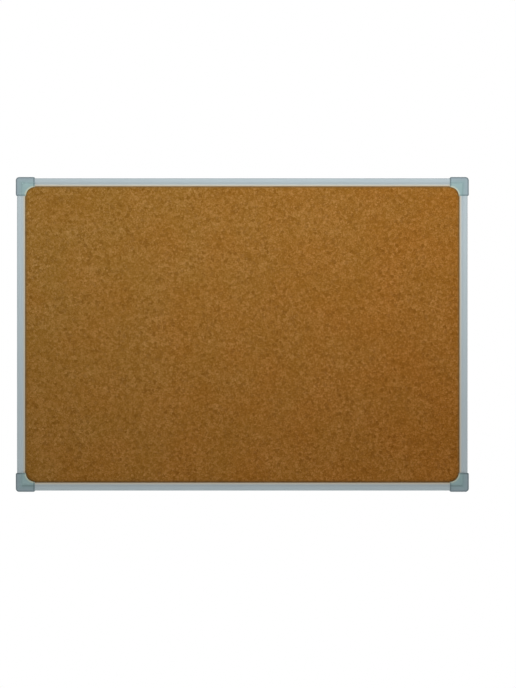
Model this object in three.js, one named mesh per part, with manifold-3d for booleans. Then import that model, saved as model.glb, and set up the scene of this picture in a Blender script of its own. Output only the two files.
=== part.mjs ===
// A wall-hung cork board in a slim extruded frame with moulded corner caps.
// Millimetres. +X is the board's width, +Z is up, the front faces -Y and the wall plane is Y = 0.
// The origin is the middle of the top rail's rear face, where the board meets the wall.

import * as THREE from "three";
import { mergeVertices } from "three/addons/utils/BufferGeometryUtils.js";
import Module from "manifold-3d";

// Overall size, measured over the corner caps.
const BOARD_WIDTH = 600;
const BOARD_HEIGHT = 417;

// Panel: a cork sheet on a softboard core with a thin backing, glued together.
const CORK_THICKNESS = 2.5;
const CORE_THICKNESS = 5;
const BACK_THICKNESS = 0.8;
const GLUE_LINE = 0.2;

// Frame extrusion, one section for all four rails.
const RAIL_WALL = 1.1;
const CHAMBER_WIDTH = 4.5;
const PANEL_OVERLAP = 3.9;
const LAND_WIDTH = 2.8;
const SLOPE_WIDTH = 2.4;
const LIP_HEIGHT = 1.6;
const SLOPE_DROP = 1.3;
const CROWN_DROP = 0.5;
const FLANGE_REACH = 4.8;
const REAR_LIP_WIDTH = 4.6;
const BEAD_WIDTH = 1.1;
const RAIL_EDGE_RADIUS = 1.3;
const LIP_EDGE_RADIUS = 0.5;

// Clearances between pieces.
const PANEL_GAP = 0.2;
const PANEL_EDGE_GAP = 0.3;
const FIT_GAP = 0.2;
const SPIGOT_GAP = 0.25;
const BUTT_GAP = 0.3;
const SEAT_GAP = 0.2;
const SLIDE_GAP = 0.25;
const WALL_GAP = 0.3;
const HOLE_GAP = 0.2;

// Moulded corner cap.
const CAP_ARM = 25;
const CAP_WALL = 1.4;
const CAP_FRONT_WALL = 1;
const CAP_LIP_WALL = 0.8;
const CAP_CORNER_RADIUS = 4.5;
const CAP_END_RADIUS = 1.6;
const CAP_EDGE_ROUND = 1.2;
const CAP_CROWN_DROP = 0.35;
const SPIGOT_PAST_SCREW = 6.6;
const SPIGOT_CHAMFER = 0.8;
const CORE_POCKET_DEPTH = 11;

// Cap screws. The shank is the share of the spigot's width that leaves it sound walls.
const SCREW_SETBACK = 8;
const SCREW_LENGTH = 9;
const SCREW_HEAD_HEIGHT = 1.4;
const SHANK_SHARE = 0.55;
const HEAD_SHARE = 1.82;
const HEAD_RIM_SHARE = 0.4;
const RECESS_LENGTH_SHARE = 0.6;
const RECESS_WIDTH_SHARE = 0.17;
const RECESS_DEPTH_SHARE = 0.55;
const HEAD_ACCESS_GAP = 0.45;

// Keyhole hangers, stamped from sheet steel.
const HANGER_STEEL = 0.9;
const HANGER_WIDTH = 34;
const KEYHOLE_HEAD = 9.5;
const KEYHOLE_SLOT = 4.8;
const KEYHOLE_TRAVEL = 8.5;
const KEYHOLE_MARGIN = 4.2;
const HANGER_CORNER_RADIUS = 4;
const HANGER_SPREAD_SHARE = 0.5;

// How far a cutting solid runs past what it cuts.
const OVERRUN = 2;

// Corners closer together than this are one corner.
const MERGE_DISTANCE = 1e-4;

const ARC_STEPS = 8;
const ROUND_STEPS = 24;
const SCREW_STEPS = 16;

// Places across the rail's section. u runs inwards from the rail's outer edge.
const webOuter = RAIL_WALL + CHAMBER_WIDTH;
const webInner = webOuter + RAIL_WALL;
const railFace = webInner + PANEL_OVERLAP;
const landStart = railFace - LAND_WIDTH;
const outerBand = landStart - SLOPE_WIDTH;
const flangeEdge = webInner + FLANGE_REACH;
const lipOuter = railFace - RAIL_WALL;
const beadOuter = REAR_LIP_WIDTH - BEAD_WIDTH;

// Heights above the wall plane, from the rear lip to the crest of the frame.
const slotHeight = 2 * HANGER_STEEL + 2 * SLIDE_GAP;
const slotCeiling = RAIL_WALL + slotHeight;
const mouthHeight = HANGER_STEEL + 2 * SLIDE_GAP;
const beadTop = slotCeiling - mouthHeight;
const flangeTop = slotCeiling + RAIL_WALL;
const backRear = flangeTop + PANEL_GAP;
const coreRear = backRear + BACK_THICKNESS + GLUE_LINE;
const corkRear = coreRear + CORE_THICKNESS + GLUE_LINE;
const corkFront = corkRear + CORK_THICKNESS;
const lipUnderside = corkFront + PANEL_GAP;
const lipTop = lipUnderside + LIP_HEIGHT;
const creaseTop = lipTop + SLOPE_DROP;
const crest = creaseTop + CROWN_DROP;
const chamberCeiling = frontAt(webOuter) - RAIL_WALL;

// The frame's outline over the rails, which the caps stand proud of.
const capProud = FIT_GAP + CAP_WALL;
const frameWidth = BOARD_WIDTH - 2 * capProud;
const frameHeight = BOARD_HEIGHT - 2 * capProud;
const railStart = flangeEdge + PANEL_GAP + BUTT_GAP;
const armEnd = CAP_ARM - capProud;
const capTop = crest + FIT_GAP + CAP_FRONT_WALL;
const capCrease = capTop - CAP_CROWN_DROP;
const capLand = lipTop + FIT_GAP + CAP_FRONT_WALL;

// Screw sizes follow the spigot that they bite into.
const spigotWidth = CHAMBER_WIDTH - 2 * SPIGOT_GAP;
const shankRadius = (spigotWidth * SHANK_SHARE) / 2;
const headRadius = shankRadius * HEAD_SHARE;
const screwAcross = RAIL_WALL + CHAMBER_WIDTH / 2;
const screwAlong = armEnd + SCREW_SETBACK;
const headBearing = slotCeiling - SEAT_GAP;

const wasm = await Module();
wasm.setup();

// A closed geometry as a solid that can be joined and cut.
function solid(geometry) {
  const bare = geometry.clone();
  bare.deleteAttribute("normal");
  bare.deleteAttribute("uv");
  const merged = mergeVertices(bare, MERGE_DISTANCE);
  return new wasm.Manifold(
    new wasm.Mesh({
      numProp: 3,
      vertProperties: new Float32Array(merged.attributes.position.array),
      triVerts: new Uint32Array(merged.index.array),
    }),
  );
}

// A solid back as a geometry, with flat faces.
function geometryOf(body) {
  const mesh = body.getMesh();
  const geometry = new THREE.BufferGeometry();
  geometry.setAttribute("position", new THREE.BufferAttribute(mesh.vertProperties, 3));
  geometry.setIndex(new THREE.BufferAttribute(mesh.triVerts, 1));
  const faceted = geometry.toNonIndexed();
  faceted.computeVertexNormals();
  return faceted;
}

// A box between two corners.
function box(low, high) {
  const size = high.map((value, i) => value - low[i]);
  const geometry = new THREE.BoxGeometry(...size);
  geometry.translate(...high.map((value, i) => (value + low[i]) / 2));
  return geometry;
}

// A closed outline through points.
function outline(points) {
  return new THREE.Shape(points.map(([x, y]) => new THREE.Vector2(x, y)));
}

// Stretches a section along X. The section's x becomes the board's y, and its y becomes height.
function alongX(section, from, to) {
  const geometry = new THREE.ExtrudeGeometry(section, {
    depth: to - from,
    bevelEnabled: false,
    curveSegments: ARC_STEPS,
  });
  const axes = new THREE.Matrix4().makeBasis(
    new THREE.Vector3(0, 1, 0),
    new THREE.Vector3(0, 0, 1),
    new THREE.Vector3(1, 0, 0),
  );
  return geometry.applyMatrix4(axes).translate(from, 0, 0);
}

// Stretches a section along Y. The section's x stays the board's x, and its y becomes height.
function alongY(section, from, to) {
  const geometry = new THREE.ExtrudeGeometry(section, {
    depth: to - from,
    bevelEnabled: false,
    curveSegments: ARC_STEPS,
  });
  const axes = new THREE.Matrix4().makeBasis(
    new THREE.Vector3(1, 0, 0),
    new THREE.Vector3(0, 0, 1),
    new THREE.Vector3(0, -1, 0),
  );
  return geometry.applyMatrix4(axes).translate(0, to, 0);
}

// A round rod along the height axis.
function rod(radius, x, y, from, to) {
  const geometry = new THREE.CylinderGeometry(radius, radius, to - from, ROUND_STEPS);
  return geometry.rotateX(Math.PI / 2).translate(x, y, (from + to) / 2);
}

function named(name, geometry, material) {
  const mesh = new THREE.Mesh(geometry, material);
  mesh.name = name;
  return mesh;
}

const finishes = {
  cork: { color: 0x9c6a2e, roughness: 0.9, metalness: 0 },
  core: { color: 0xa58a63, roughness: 0.95, metalness: 0 },
  back: { color: 0x8a7a66, roughness: 0.9, metalness: 0 },
  rail: { color: 0xc2cacb, roughness: 0.35, metalness: 0.9 },
  cap: { color: 0x849796, roughness: 0.45, metalness: 0 },
  screw: { color: 0xb9bcbe, roughness: 0.3, metalness: 1 },
  hanger: { color: 0xaeb2b4, roughness: 0.35, metalness: 1 },
};

function finish(key) {
  return new THREE.MeshStandardMaterial(finishes[key]);
}

// One layer of the panel, centred on the frame, between two heights.
function panelLayer(rear, front) {
  const edge = webInner + PANEL_EDGE_GAP;
  return box([edge, edge, rear], [frameWidth - edge, frameHeight - edge, front]);
}

// The height of the rail's front inside its crowned band: a slope, and then a flat land at the lip.
function frontAt(u) {
  const share = (u - outerBand) / SLOPE_WIDTH;
  return creaseTop - SLOPE_DROP * Math.min(1, Math.max(0, share));
}

// The extrusion's section: box chamber, crowned front, stepped lip, panel flange and rear hanger slot.
function railSection() {
  const shape = new THREE.Shape();
  shape.moveTo(0, 0);
  shape.lineTo(REAR_LIP_WIDTH, 0);
  shape.lineTo(REAR_LIP_WIDTH, beadTop);
  shape.lineTo(beadOuter, beadTop);
  shape.lineTo(beadOuter, RAIL_WALL);
  shape.lineTo(RAIL_WALL, RAIL_WALL);
  shape.lineTo(RAIL_WALL, slotCeiling);
  shape.lineTo(flangeEdge, slotCeiling);
  shape.lineTo(flangeEdge, flangeTop);
  shape.lineTo(webInner, flangeTop);
  shape.lineTo(webInner, frontAt(webInner) - RAIL_WALL);
  shape.lineTo(landStart, lipTop - RAIL_WALL);
  shape.lineTo(lipOuter, lipTop - RAIL_WALL);
  shape.lineTo(lipOuter, lipUnderside);
  shape.lineTo(railFace, lipUnderside);
  shape.lineTo(railFace, lipTop - LIP_EDGE_RADIUS);
  shape.quadraticCurveTo(railFace, lipTop, railFace - LIP_EDGE_RADIUS, lipTop);
  shape.lineTo(landStart, lipTop);
  shape.lineTo(outerBand, creaseTop);
  shape.quadraticCurveTo((outerBand + RAIL_EDGE_RADIUS) / 2, crest, RAIL_EDGE_RADIUS, crest);
  shape.absarc(RAIL_EDGE_RADIUS, crest - RAIL_EDGE_RADIUS, RAIL_EDGE_RADIUS, Math.PI / 2, Math.PI, false);
  shape.closePath();
  shape.holes.push(
    outline([
      [RAIL_WALL, flangeTop],
      [RAIL_WALL, chamberCeiling],
      [webOuter, chamberCeiling],
      [webOuter, flangeTop],
    ]),
  );
  return shape;
}

// One rail, cut square at both ends, with the two holes that its cap screws pass through.
function rail(sideLength) {
  let body = solid(alongX(railSection(), railStart, sideLength - railStart));
  for (const x of [screwAlong, sideLength - screwAlong]) {
    const access = rod(headRadius + HEAD_ACCESS_GAP, x, screwAcross, -OVERRUN, slotCeiling);
    const hole = rod(shankRadius + HOLE_GAP, x, screwAcross, RAIL_WALL, flangeTop + SPIGOT_GAP);
    body = body.subtract(solid(access)).subtract(solid(hole));
  }
  return geometryOf(body);
}

// The cap's outline from the front: two arms, a round outer corner, and a curve over the cork's corner.
function capOutline() {
  const inner = railFace + FIT_GAP + CAP_LIP_WALL;
  const radius = armEnd - inner;
  const corner = -capProud + CAP_CORNER_RADIUS;
  const end = armEnd - CAP_END_RADIUS;
  const side = -capProud + CAP_END_RADIUS;
  const shape = new THREE.Shape();
  shape.absarc(corner, corner, CAP_CORNER_RADIUS, Math.PI, 1.5 * Math.PI, false);
  shape.absarc(end, side, CAP_END_RADIUS, -Math.PI / 2, 0, false);
  shape.lineTo(armEnd, inner);
  shape.absarc(armEnd, armEnd, radius, -Math.PI / 2, -Math.PI, true);
  shape.lineTo(inner, armEnd);
  shape.absarc(side, end, CAP_END_RADIUS, Math.PI / 2, Math.PI, false);
  shape.closePath();
  return shape;
}

// Everything under the cap's front: crowned over the outer band, then a slope down to a flat land.
function capFrontSection() {
  const far = armEnd + OVERRUN;
  const low = -capProud - OVERRUN;
  const rim = CAP_EDGE_ROUND - capProud;
  const shape = new THREE.Shape();
  shape.moveTo(low, -OVERRUN);
  shape.lineTo(far, -OVERRUN);
  shape.lineTo(far, capLand);
  shape.lineTo(landStart, capLand);
  shape.lineTo(outerBand, capCrease);
  shape.quadraticCurveTo((outerBand + rim) / 2, capTop, rim, capTop);
  shape.lineTo(low, capTop);
  shape.closePath();
  return shape;
}

// The space inside an arm: the rail with its fit gap, and all that lies under it.
function armHollowSection() {
  const inner = railFace + FIT_GAP;
  return outline([
    [-FIT_GAP, -OVERRUN],
    [inner, -OVERRUN],
    [inner, lipTop + FIT_GAP],
    [landStart + FIT_GAP, lipTop + FIT_GAP],
    [outerBand, creaseTop + 2 * FIT_GAP],
    [(outerBand + RAIL_EDGE_RADIUS) / 2, crest + FIT_GAP],
    [-FIT_GAP, crest + FIT_GAP],
  ]);
}

// A spigot's section inside the rail's chamber.
function spigotSection() {
  return outline([
    [RAIL_WALL + SPIGOT_GAP, flangeTop + SPIGOT_GAP],
    [webOuter - SPIGOT_GAP, flangeTop + SPIGOT_GAP],
    [webOuter - SPIGOT_GAP, chamberCeiling - SPIGOT_GAP],
    [RAIL_WALL + SPIGOT_GAP, chamberCeiling - SPIGOT_GAP],
  ]);
}

// The wedge that chamfers a spigot's front edge at its tip, so that it finds the chamber.
function tipWedgeSection(tip) {
  const top = chamberCeiling - SPIGOT_GAP;
  return outline([
    [tip - SPIGOT_CHAMFER, top + OVERRUN],
    [tip - SPIGOT_CHAMFER, top],
    [tip, top - SPIGOT_CHAMFER],
    [tip + OVERRUN, top - SPIGOT_CHAMFER],
    [tip + OVERRUN, top + OVERRUN],
  ]);
}

// The corner cap: a block in the corner, two hollow arms, a web over the cork and two spigots.
function cornerCap() {
  const blockEdge = railStart - BUTT_GAP;
  const far = armEnd + OVERRUN;
  const low = -capProud - OVERRUN;
  const envelope = new THREE.ExtrudeGeometry(capOutline(), {
    depth: capTop + OVERRUN - CAP_EDGE_ROUND,
    bevelEnabled: true,
    bevelThickness: CAP_EDGE_ROUND,
    bevelSize: CAP_EDGE_ROUND,
    bevelOffset: -CAP_EDGE_ROUND,
    bevelSegments: ARC_STEPS / 2,
    curveSegments: ARC_STEPS,
  }).translate(0, 0, -OVERRUN);
  let body = solid(envelope).subtract(
    solid(box([low, low, -OVERRUN - 2 * CAP_EDGE_ROUND], [far, far, 0])),
  );

  const fronts = solid(alongX(capFrontSection(), low, far)).add(
    solid(alongY(capFrontSection(), low, far)),
  );
  body = body.intersect(fronts);

  const panelCorner = webInner;
  const cuts = [
    alongX(armHollowSection(), blockEdge, far),
    alongY(armHollowSection(), blockEdge, far),
    box([blockEdge, -FIT_GAP, -OVERRUN], [far, far, lipUnderside]),
    box([-FIT_GAP, blockEdge, -OVERRUN], [far, far, lipUnderside]),
    box([panelCorner, panelCorner, flangeTop], [far, far, lipUnderside]),
  ];
  for (const cut of cuts) {
    body = body.subtract(solid(cut));
  }

  const tip = screwAlong + SPIGOT_PAST_SCREW;
  const root = blockEdge - SPIGOT_CHAMFER;
  const spigotX = solid(alongX(spigotSection(), root, tip)).subtract(
    solid(alongY(tipWedgeSection(tip), 0, webInner)),
  );
  const spigotY = solid(alongY(spigotSection(), root, tip)).subtract(
    solid(alongX(tipWedgeSection(tip), 0, webInner)),
  );
  body = body.add(spigotX).add(spigotY);

  const pilotEnd = headBearing + SCREW_LENGTH + HOLE_GAP;
  for (const [x, y] of [[screwAlong, screwAcross], [screwAcross, screwAlong]]) {
    body = body.subtract(solid(rod(shankRadius + HOLE_GAP, x, y, 0, pilotEnd)));
  }

  const pocket = box([0, 0, -OVERRUN], [webOuter, webOuter, CORE_POCKET_DEPTH]);
  return geometryOf(body.subtract(solid(pocket)));
}

// A pan-head screw along the height axis. Its head faces the wall and carries a cross recess.
function capScrew() {
  const rim = SCREW_HEAD_HEIGHT * HEAD_RIM_SHARE;
  const dome = SCREW_HEAD_HEIGHT - rim;
  const profile = [new THREE.Vector2(0, -SCREW_HEAD_HEIGHT)];
  for (let i = 1; i <= ARC_STEPS / 2; i++) {
    const turn = (i / (ARC_STEPS / 2)) * (Math.PI / 2);
    profile.push(new THREE.Vector2(headRadius * Math.sin(turn), -rim - dome * Math.cos(turn)));
  }
  profile.push(new THREE.Vector2(headRadius, 0));
  profile.push(new THREE.Vector2(shankRadius, 0));
  profile.push(new THREE.Vector2(shankRadius, SCREW_LENGTH - shankRadius));
  profile.push(new THREE.Vector2(0, SCREW_LENGTH));
  const turned = new THREE.LatheGeometry(profile, SCREW_STEPS).rotateX(Math.PI / 2);

  const reach = headRadius * RECESS_LENGTH_SHARE;
  const half = headRadius * RECESS_WIDTH_SHARE;
  const floor = -SCREW_HEAD_HEIGHT * (1 - RECESS_DEPTH_SHARE);
  const bars = [
    box([-reach, -half, -SCREW_HEAD_HEIGHT - OVERRUN], [reach, half, floor]),
    box([-half, -reach, -SCREW_HEAD_HEIGHT - OVERRUN], [half, reach, floor]),
  ];
  let body = solid(turned);
  for (const bar of bars) {
    body = body.subtract(solid(bar));
  }
  return geometryOf(body);
}

// The hanger's section: a hem in the slot, a neck past the bead, and a leaf that steps back to the wall.
function hangerSection() {
  const top = RAIL_WALL + SLIDE_GAP;
  const hemRear = RAIL_WALL + SLIDE_GAP;
  const hemEnd = beadOuter - SLIDE_GAP;
  const neckFront = slotCeiling - SLIDE_GAP;
  const neckRear = neckFront - HANGER_STEEL;
  const stepStart = REAR_LIP_WIDTH + SLIDE_GAP;
  const stepEnd = flangeEdge;
  const leafFront = WALL_GAP + HANGER_STEEL;
  return outline([
    [top, hemRear],
    [hemEnd, hemRear],
    [hemEnd, neckRear],
    [stepStart, neckRear],
    [stepEnd, WALL_GAP],
    [hangerEnd(), WALL_GAP],
    [hangerEnd(), leafFront],
    [stepEnd, leafFront],
    [stepStart, neckFront],
    [top, neckFront],
  ]);
}

// Where the keyhole's narrow end lies, far enough in for a wall screw's head to clear the flange.
function keyholeNarrow() {
  return flangeEdge + FIT_GAP + KEYHOLE_HEAD / 2;
}

function hangerEnd() {
  return keyholeNarrow() + KEYHOLE_TRAVEL + KEYHOLE_HEAD / 2 + KEYHOLE_MARGIN;
}

// The hanger seen from the front, with rounded lower corners and the keyhole through it.
function hangerOutline() {
  const half = HANGER_WIDTH / 2;
  const end = hangerEnd();
  const r = HANGER_CORNER_RADIUS;
  const shape = new THREE.Shape();
  shape.moveTo(-half, 0);
  shape.lineTo(half, 0);
  shape.absarc(half - r, end - r, r, 0, Math.PI / 2, false);
  shape.absarc(-half + r, end - r, r, Math.PI / 2, Math.PI, false);
  shape.closePath();

  const narrow = keyholeNarrow();
  const wide = narrow + KEYHOLE_TRAVEL;
  const headHole = KEYHOLE_HEAD / 2;
  const slotHole = KEYHOLE_SLOT / 2;
  const meet = Math.asin(slotHole / headHole);
  const hole = new THREE.Path();
  hole.absarc(0, wide, headHole, -Math.PI / 2 + meet, 1.5 * Math.PI - meet, false);
  hole.absarc(0, narrow, slotHole, Math.PI, 2 * Math.PI, false);
  hole.closePath();
  shape.holes.push(hole);
  return shape;
}

function hanger() {
  const half = HANGER_WIDTH / 2;
  const bent = solid(alongX(hangerSection(), -half - OVERRUN, half + OVERRUN));
  const blank = new THREE.ExtrudeGeometry(hangerOutline(), {
    depth: crest,
    bevelEnabled: false,
    curveSegments: ARC_STEPS,
  }).translate(0, 0, -OVERRUN);
  return geometryOf(bent.intersect(solid(blank)));
}

const part = new THREE.Group();

// The board is drawn lying in X and Y with its front up, then stood on its edge.
const board = new THREE.Group();
board.rotation.x = Math.PI / 2;
part.add(board);

// The frame's lower left corner. The top rail's rear lip is centred on the origin.
const frame = new THREE.Group();
frame.position.set(-frameWidth / 2, REAR_LIP_WIDTH / 2 - frameHeight, 0);
board.add(frame);

frame.add(named("back_sheet", panelLayer(backRear, backRear + BACK_THICKNESS), finish("back")));
frame.add(named("core_board", panelLayer(coreRear, coreRear + CORE_THICKNESS), finish("core")));
frame.add(named("cork_sheet", panelLayer(corkRear, corkFront), finish("cork")));

// Each corner carries a cap, its two screws, and the rail that runs on from it anticlockwise.
const corners = [
  { corner: "bottom_left", side: "bottom", x: 0, y: 0, length: frameWidth },
  { corner: "bottom_right", side: "right", x: frameWidth, y: 0, length: frameHeight },
  { corner: "top_right", side: "top", x: frameWidth, y: frameHeight, length: frameWidth },
  { corner: "top_left", side: "left", x: 0, y: frameHeight, length: frameHeight },
];

corners.forEach(({ corner, side, x, y, length }, turn) => {
  const group = new THREE.Group();
  group.position.set(x, y, 0);
  group.rotation.z = (turn * Math.PI) / 2;
  frame.add(group);

  group.add(named("rail_" + side, rail(length), finish("rail")));
  group.add(named("cap_" + corner, cornerCap(), finish("cap")));

  const places = { a: [screwAlong, screwAcross], b: [screwAcross, screwAlong] };
  for (const [letter, place] of Object.entries(places)) {
    const screw = named("cap_screw_" + corner + "_" + letter, capScrew(), finish("screw"));
    screw.position.set(...place, headBearing);
    group.add(screw);
  }

  if (side === "top") {
    const spread = (BOARD_WIDTH * HANGER_SPREAD_SHARE) / 2;
    for (const [name, offset] of [["hanger_right", -spread], ["hanger_left", spread]]) {
      const plate = named(name, hanger(), finish("hanger"));
      plate.position.x = length / 2 + offset;
      group.add(plate);
    }
  }
});

export default part;
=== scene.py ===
# %% [markdown]
# # A cork board in a slim aluminium frame
# The board hangs on a wall and takes push pins. Four lengths of one aluminium extrusion hold a
# panel of cork glued to softboard, four moulded caps hold the corners, and two steel keyhole plates
# slide along the top rail's rear slot to meet the wall screws. The photograph shows only the front,
# so what lies behind it is a guess, made in the way that such frames usually are.
# Its looks could be modelled by eye over the photograph, but then nothing would fit the solids that
# its motion runs on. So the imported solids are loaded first, and everything here is fitted to them.

# %% Load the frame
import math

import bmesh
import bpy
from mathutils import Matrix, Vector
from mathutils.geometry import tessellate_polygon


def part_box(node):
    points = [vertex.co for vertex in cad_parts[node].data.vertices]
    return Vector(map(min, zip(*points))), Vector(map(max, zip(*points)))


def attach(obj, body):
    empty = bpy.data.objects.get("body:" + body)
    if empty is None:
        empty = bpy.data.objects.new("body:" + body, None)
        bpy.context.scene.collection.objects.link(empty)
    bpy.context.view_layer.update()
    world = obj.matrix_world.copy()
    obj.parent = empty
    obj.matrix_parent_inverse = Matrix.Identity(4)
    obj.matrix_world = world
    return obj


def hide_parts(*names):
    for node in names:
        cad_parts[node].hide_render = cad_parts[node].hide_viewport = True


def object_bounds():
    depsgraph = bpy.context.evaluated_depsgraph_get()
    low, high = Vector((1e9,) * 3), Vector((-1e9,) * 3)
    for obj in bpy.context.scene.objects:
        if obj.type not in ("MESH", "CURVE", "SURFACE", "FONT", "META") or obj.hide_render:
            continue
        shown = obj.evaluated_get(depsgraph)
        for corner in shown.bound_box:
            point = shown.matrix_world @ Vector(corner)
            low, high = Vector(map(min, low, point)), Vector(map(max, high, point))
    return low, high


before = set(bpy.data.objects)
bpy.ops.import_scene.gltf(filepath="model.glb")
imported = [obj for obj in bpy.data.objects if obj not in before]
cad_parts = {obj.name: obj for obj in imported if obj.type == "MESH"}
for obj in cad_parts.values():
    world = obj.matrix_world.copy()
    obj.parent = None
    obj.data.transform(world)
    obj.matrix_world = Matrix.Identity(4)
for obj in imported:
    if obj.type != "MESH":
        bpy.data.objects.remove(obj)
solid_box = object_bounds()

# %% [markdown]
# ## Sizes
# Nothing beside the board shows its scale, so it is taken to be 600 mm wide over its caps, a usual
# size. Every place could be typed in, or each piece scaled by hand until it seems to fit. Here the
# outer sizes are read off the frame, so that each piece fits the solid it dresses without being
# nudged. The pieces are modelled in millimetres, the maker's unit, and scaled to metres when they
# are placed.

# %% Sizes over the frame
MM = 0.001
FIT_GAP = 0.2
CAP_WALL = 1.4


def box_mm(node):
    """The lowest and highest corner of a solid, in millimetres."""
    low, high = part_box(node)
    return low / MM, high / MM


frame_low, frame_high = (Vector(corner) / MM for corner in solid_box)
cap_proud = FIT_GAP + CAP_WALL
rail_low = frame_low.x + cap_proud
rail_high = frame_high.x - cap_proud
bottom_edge = frame_low.z + cap_proud
top_edge = frame_high.z - cap_proud
cork_front = -box_mm("cork_sheet")[0].y
crest = -box_mm("rail_top")[0].y
cap_top = -box_mm("cap_top_left")[0].y
print(f"frame over the rails: {rail_high - rail_low:.1f} x {top_edge - bottom_edge:.1f} mm,",
      f"crest {crest:.1f} mm and cork {cork_front:.1f} mm off the wall")

# %% [markdown]
# The frame's face is a crown, a slope and a flat land beside the cork, and a cap's arms lie over all
# three. These few distances, measured inwards from a rail's outer edge, shape the section later on.
# They are named now, because the finishes follow them too: the painted reflection on the metal's lip,
# the tinted and partly painted bands of the caps, and the grime and painted shade at the cork's edge.

# %% Distances across the frame's face
RAIL_WALL = 1.1
CHAMBER_WIDTH = 4.5
PANEL_OVERLAP = 3.9
LAND_WIDTH = 2.8
SLOPE_WIDTH = 2.4
CAP_ARM = 25.0
CAP_LIP_WALL = 0.8

web_outer = RAIL_WALL + CHAMBER_WIDTH
web_inner = web_outer + RAIL_WALL
rail_face = web_inner + PANEL_OVERLAP
land_start = rail_face - LAND_WIDTH
outer_band = land_start - SLOPE_WIDTH
arm_end = CAP_ARM - cap_proud
cap_inner = rail_face + FIT_GAP + CAP_LIP_WALL
print(f"frame face: crown to {outer_band:.1f} mm, slope to {land_start:.1f}, land to {rail_face:.1f}")

# %% [markdown]
# ## The camera
# The photograph was taken square on and from far off, so the board's sides stay parallel. An
# orthographic camera would draw that as well, but it takes all depth out of the turned views. A long
# lens five metres away gives nearly the same flatness. The camera stands a little right of and below
# the board's middle, because the board sits left of and above the middle of the photograph.

# %% Camera
LENS = 200.0
SENSOR = 36.0
NEAR_CLIP = 0.05
FAR_CLIP = 60
FRAME_HEIGHT_PX = 688
MM_PER_PX = 1.3242
BOARD_RIGHT_OF_MIDDLE_PX = -15.7
BOARD_BELOW_MIDDLE_PX = -9.57

view_height = FRAME_HEIGHT_PX * MM_PER_PX
distance = view_height * LENS / SENSOR
camera = bpy.data.objects.new("camera", bpy.data.cameras.new("camera"))
camera.data.lens = LENS
camera.data.sensor_width = SENSOR
camera.data.clip_start = NEAR_CLIP
camera.data.clip_end = FAR_CLIP
board_middle = (frame_low + frame_high) / 2
camera.location = Vector((
    board_middle.x - BOARD_RIGHT_OF_MIDDLE_PX * MM_PER_PX,
    -cap_top - distance,
    board_middle.z + BOARD_BELOW_MIDDLE_PX * MM_PER_PX,
)) * MM
camera.rotation_euler = (math.pi / 2, 0, 0)
bpy.context.scene.collection.objects.link(camera)
bpy.context.scene.camera = camera
print(f"camera {distance * MM:.2f} m in front of the board")

# %% [markdown]
# ## The stage
# The photograph shows the board in soft light on plain white. A modelled room would give both, and
# would take longer to light evenly. A white world does it with two strengths: full white where it is
# looked at or reflected, and dimmer as a source of light, so that colours come out close to how
# they are written.

# %% White surround
WHITE = (1, 1, 1, 1)
SURROUND_SEEN = 1.0
SURROUND_LIGHT = 0.2

scene = bpy.context.scene
scene.view_settings.view_transform = "Standard"


def put(tree, kind, inputs=None, **settings):
    """Adds a node. An input's value is linked if it is a socket, and otherwise written in."""
    node = tree.nodes.new(kind)
    for key, value in settings.items():
        setattr(node, key, value)
    for key, value in (inputs or {}).items():
        if isinstance(value, bpy.types.NodeSocket):
            tree.links.new(value, node.inputs[key])
        else:
            node.inputs[key].default_value = value
    return node


def maths(tree, operation, *values):
    """The result of one sum on numbers or sockets."""
    return put(tree, "ShaderNodeMath", dict(enumerate(values)), operation=operation).outputs[0]


def white_surround():
    """A world that is white to the camera and in reflections, and dimmer to everything else."""
    world = bpy.data.worlds.new("studio")
    world.use_nodes = True
    tree = world.node_tree
    tree.nodes.clear()
    ray = put(tree, "ShaderNodeLightPath")
    seen = maths(tree, "MAXIMUM", ray.outputs["Is Camera Ray"], ray.outputs["Is Glossy Ray"])
    seen = maths(tree, "MAXIMUM", seen, ray.outputs["Is Transmission Ray"])
    dim = put(tree, "ShaderNodeBackground", {"Color": WHITE, "Strength": SURROUND_LIGHT})
    plain = put(tree, "ShaderNodeBackground", {"Color": WHITE, "Strength": SURROUND_SEEN})
    mix = put(tree, "ShaderNodeMixShader", {0: seen, 1: dim.outputs[0], 2: plain.outputs[0]})
    put(tree, "ShaderNodeOutputWorld", {"Surface": mix.outputs[0]})
    return world


scene.world = white_surround()
print("surround:", scene.world.name, "giving", SURROUND_LIGHT, "of the light that it shows")

# %% [markdown]
# The rest of the light comes from four broad lamps: one in front, a weaker one under it, one behind
# for the rear views and one overhead for the floor. Sun lamps would need fewer values, but their
# light doesn't fall off across the board. The front lamp stands level with the board's top edge and
# is tipped up, so the light falls off downwards as it does in the photograph. The lamps are left out
# of reflections, which show only the white surround, so no lamp shows as a patch on the metal.

# %% Four soft lamps
LAMPS = {
    "key_lamp": {"watts": 7.0, "size": (1.3, 0.4), "place": (0.05, -0.6, 0.0), "aim": (0, 0, 0.45)},
    "low_lamp": {"watts": 2.8, "size": (1.2, 0.5), "place": (0, -0.4, -0.85), "aim": (0, 0, -0.2)},
    "rear_lamp": {"watts": 20.0, "size": (1.4, 1.0), "place": (0.4, 1.7, 0.5), "aim": (0, 0, -0.15)},
    "top_lamp": {"watts": 58.0, "size": (2.2, 1.2), "place": (0, 1.0, 2.0), "aim": (0, 0.7, -1.0)},
}


def soft_lamp(name, watts, size, place, aim):
    """A rectangular lamp at a place, turned to face a point, that shows in no reflection."""
    data = bpy.data.lights.new(name, "AREA")
    data.shape = "RECTANGLE"
    data.size, data.size_y = size
    data.energy = watts
    lamp = bpy.data.objects.new(name, data)
    lamp.location = place
    lamp.rotation_euler = (Vector(aim) - Vector(place)).to_track_quat("-Z", "Y").to_euler()
    lamp.visible_camera = False
    lamp.visible_glossy = False
    scene.collection.objects.link(lamp)
    return lamp


for name, values in LAMPS.items():
    soft_lamp(name, **values)
    print(f"{name}: {values['watts']:.1f} W")

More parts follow.
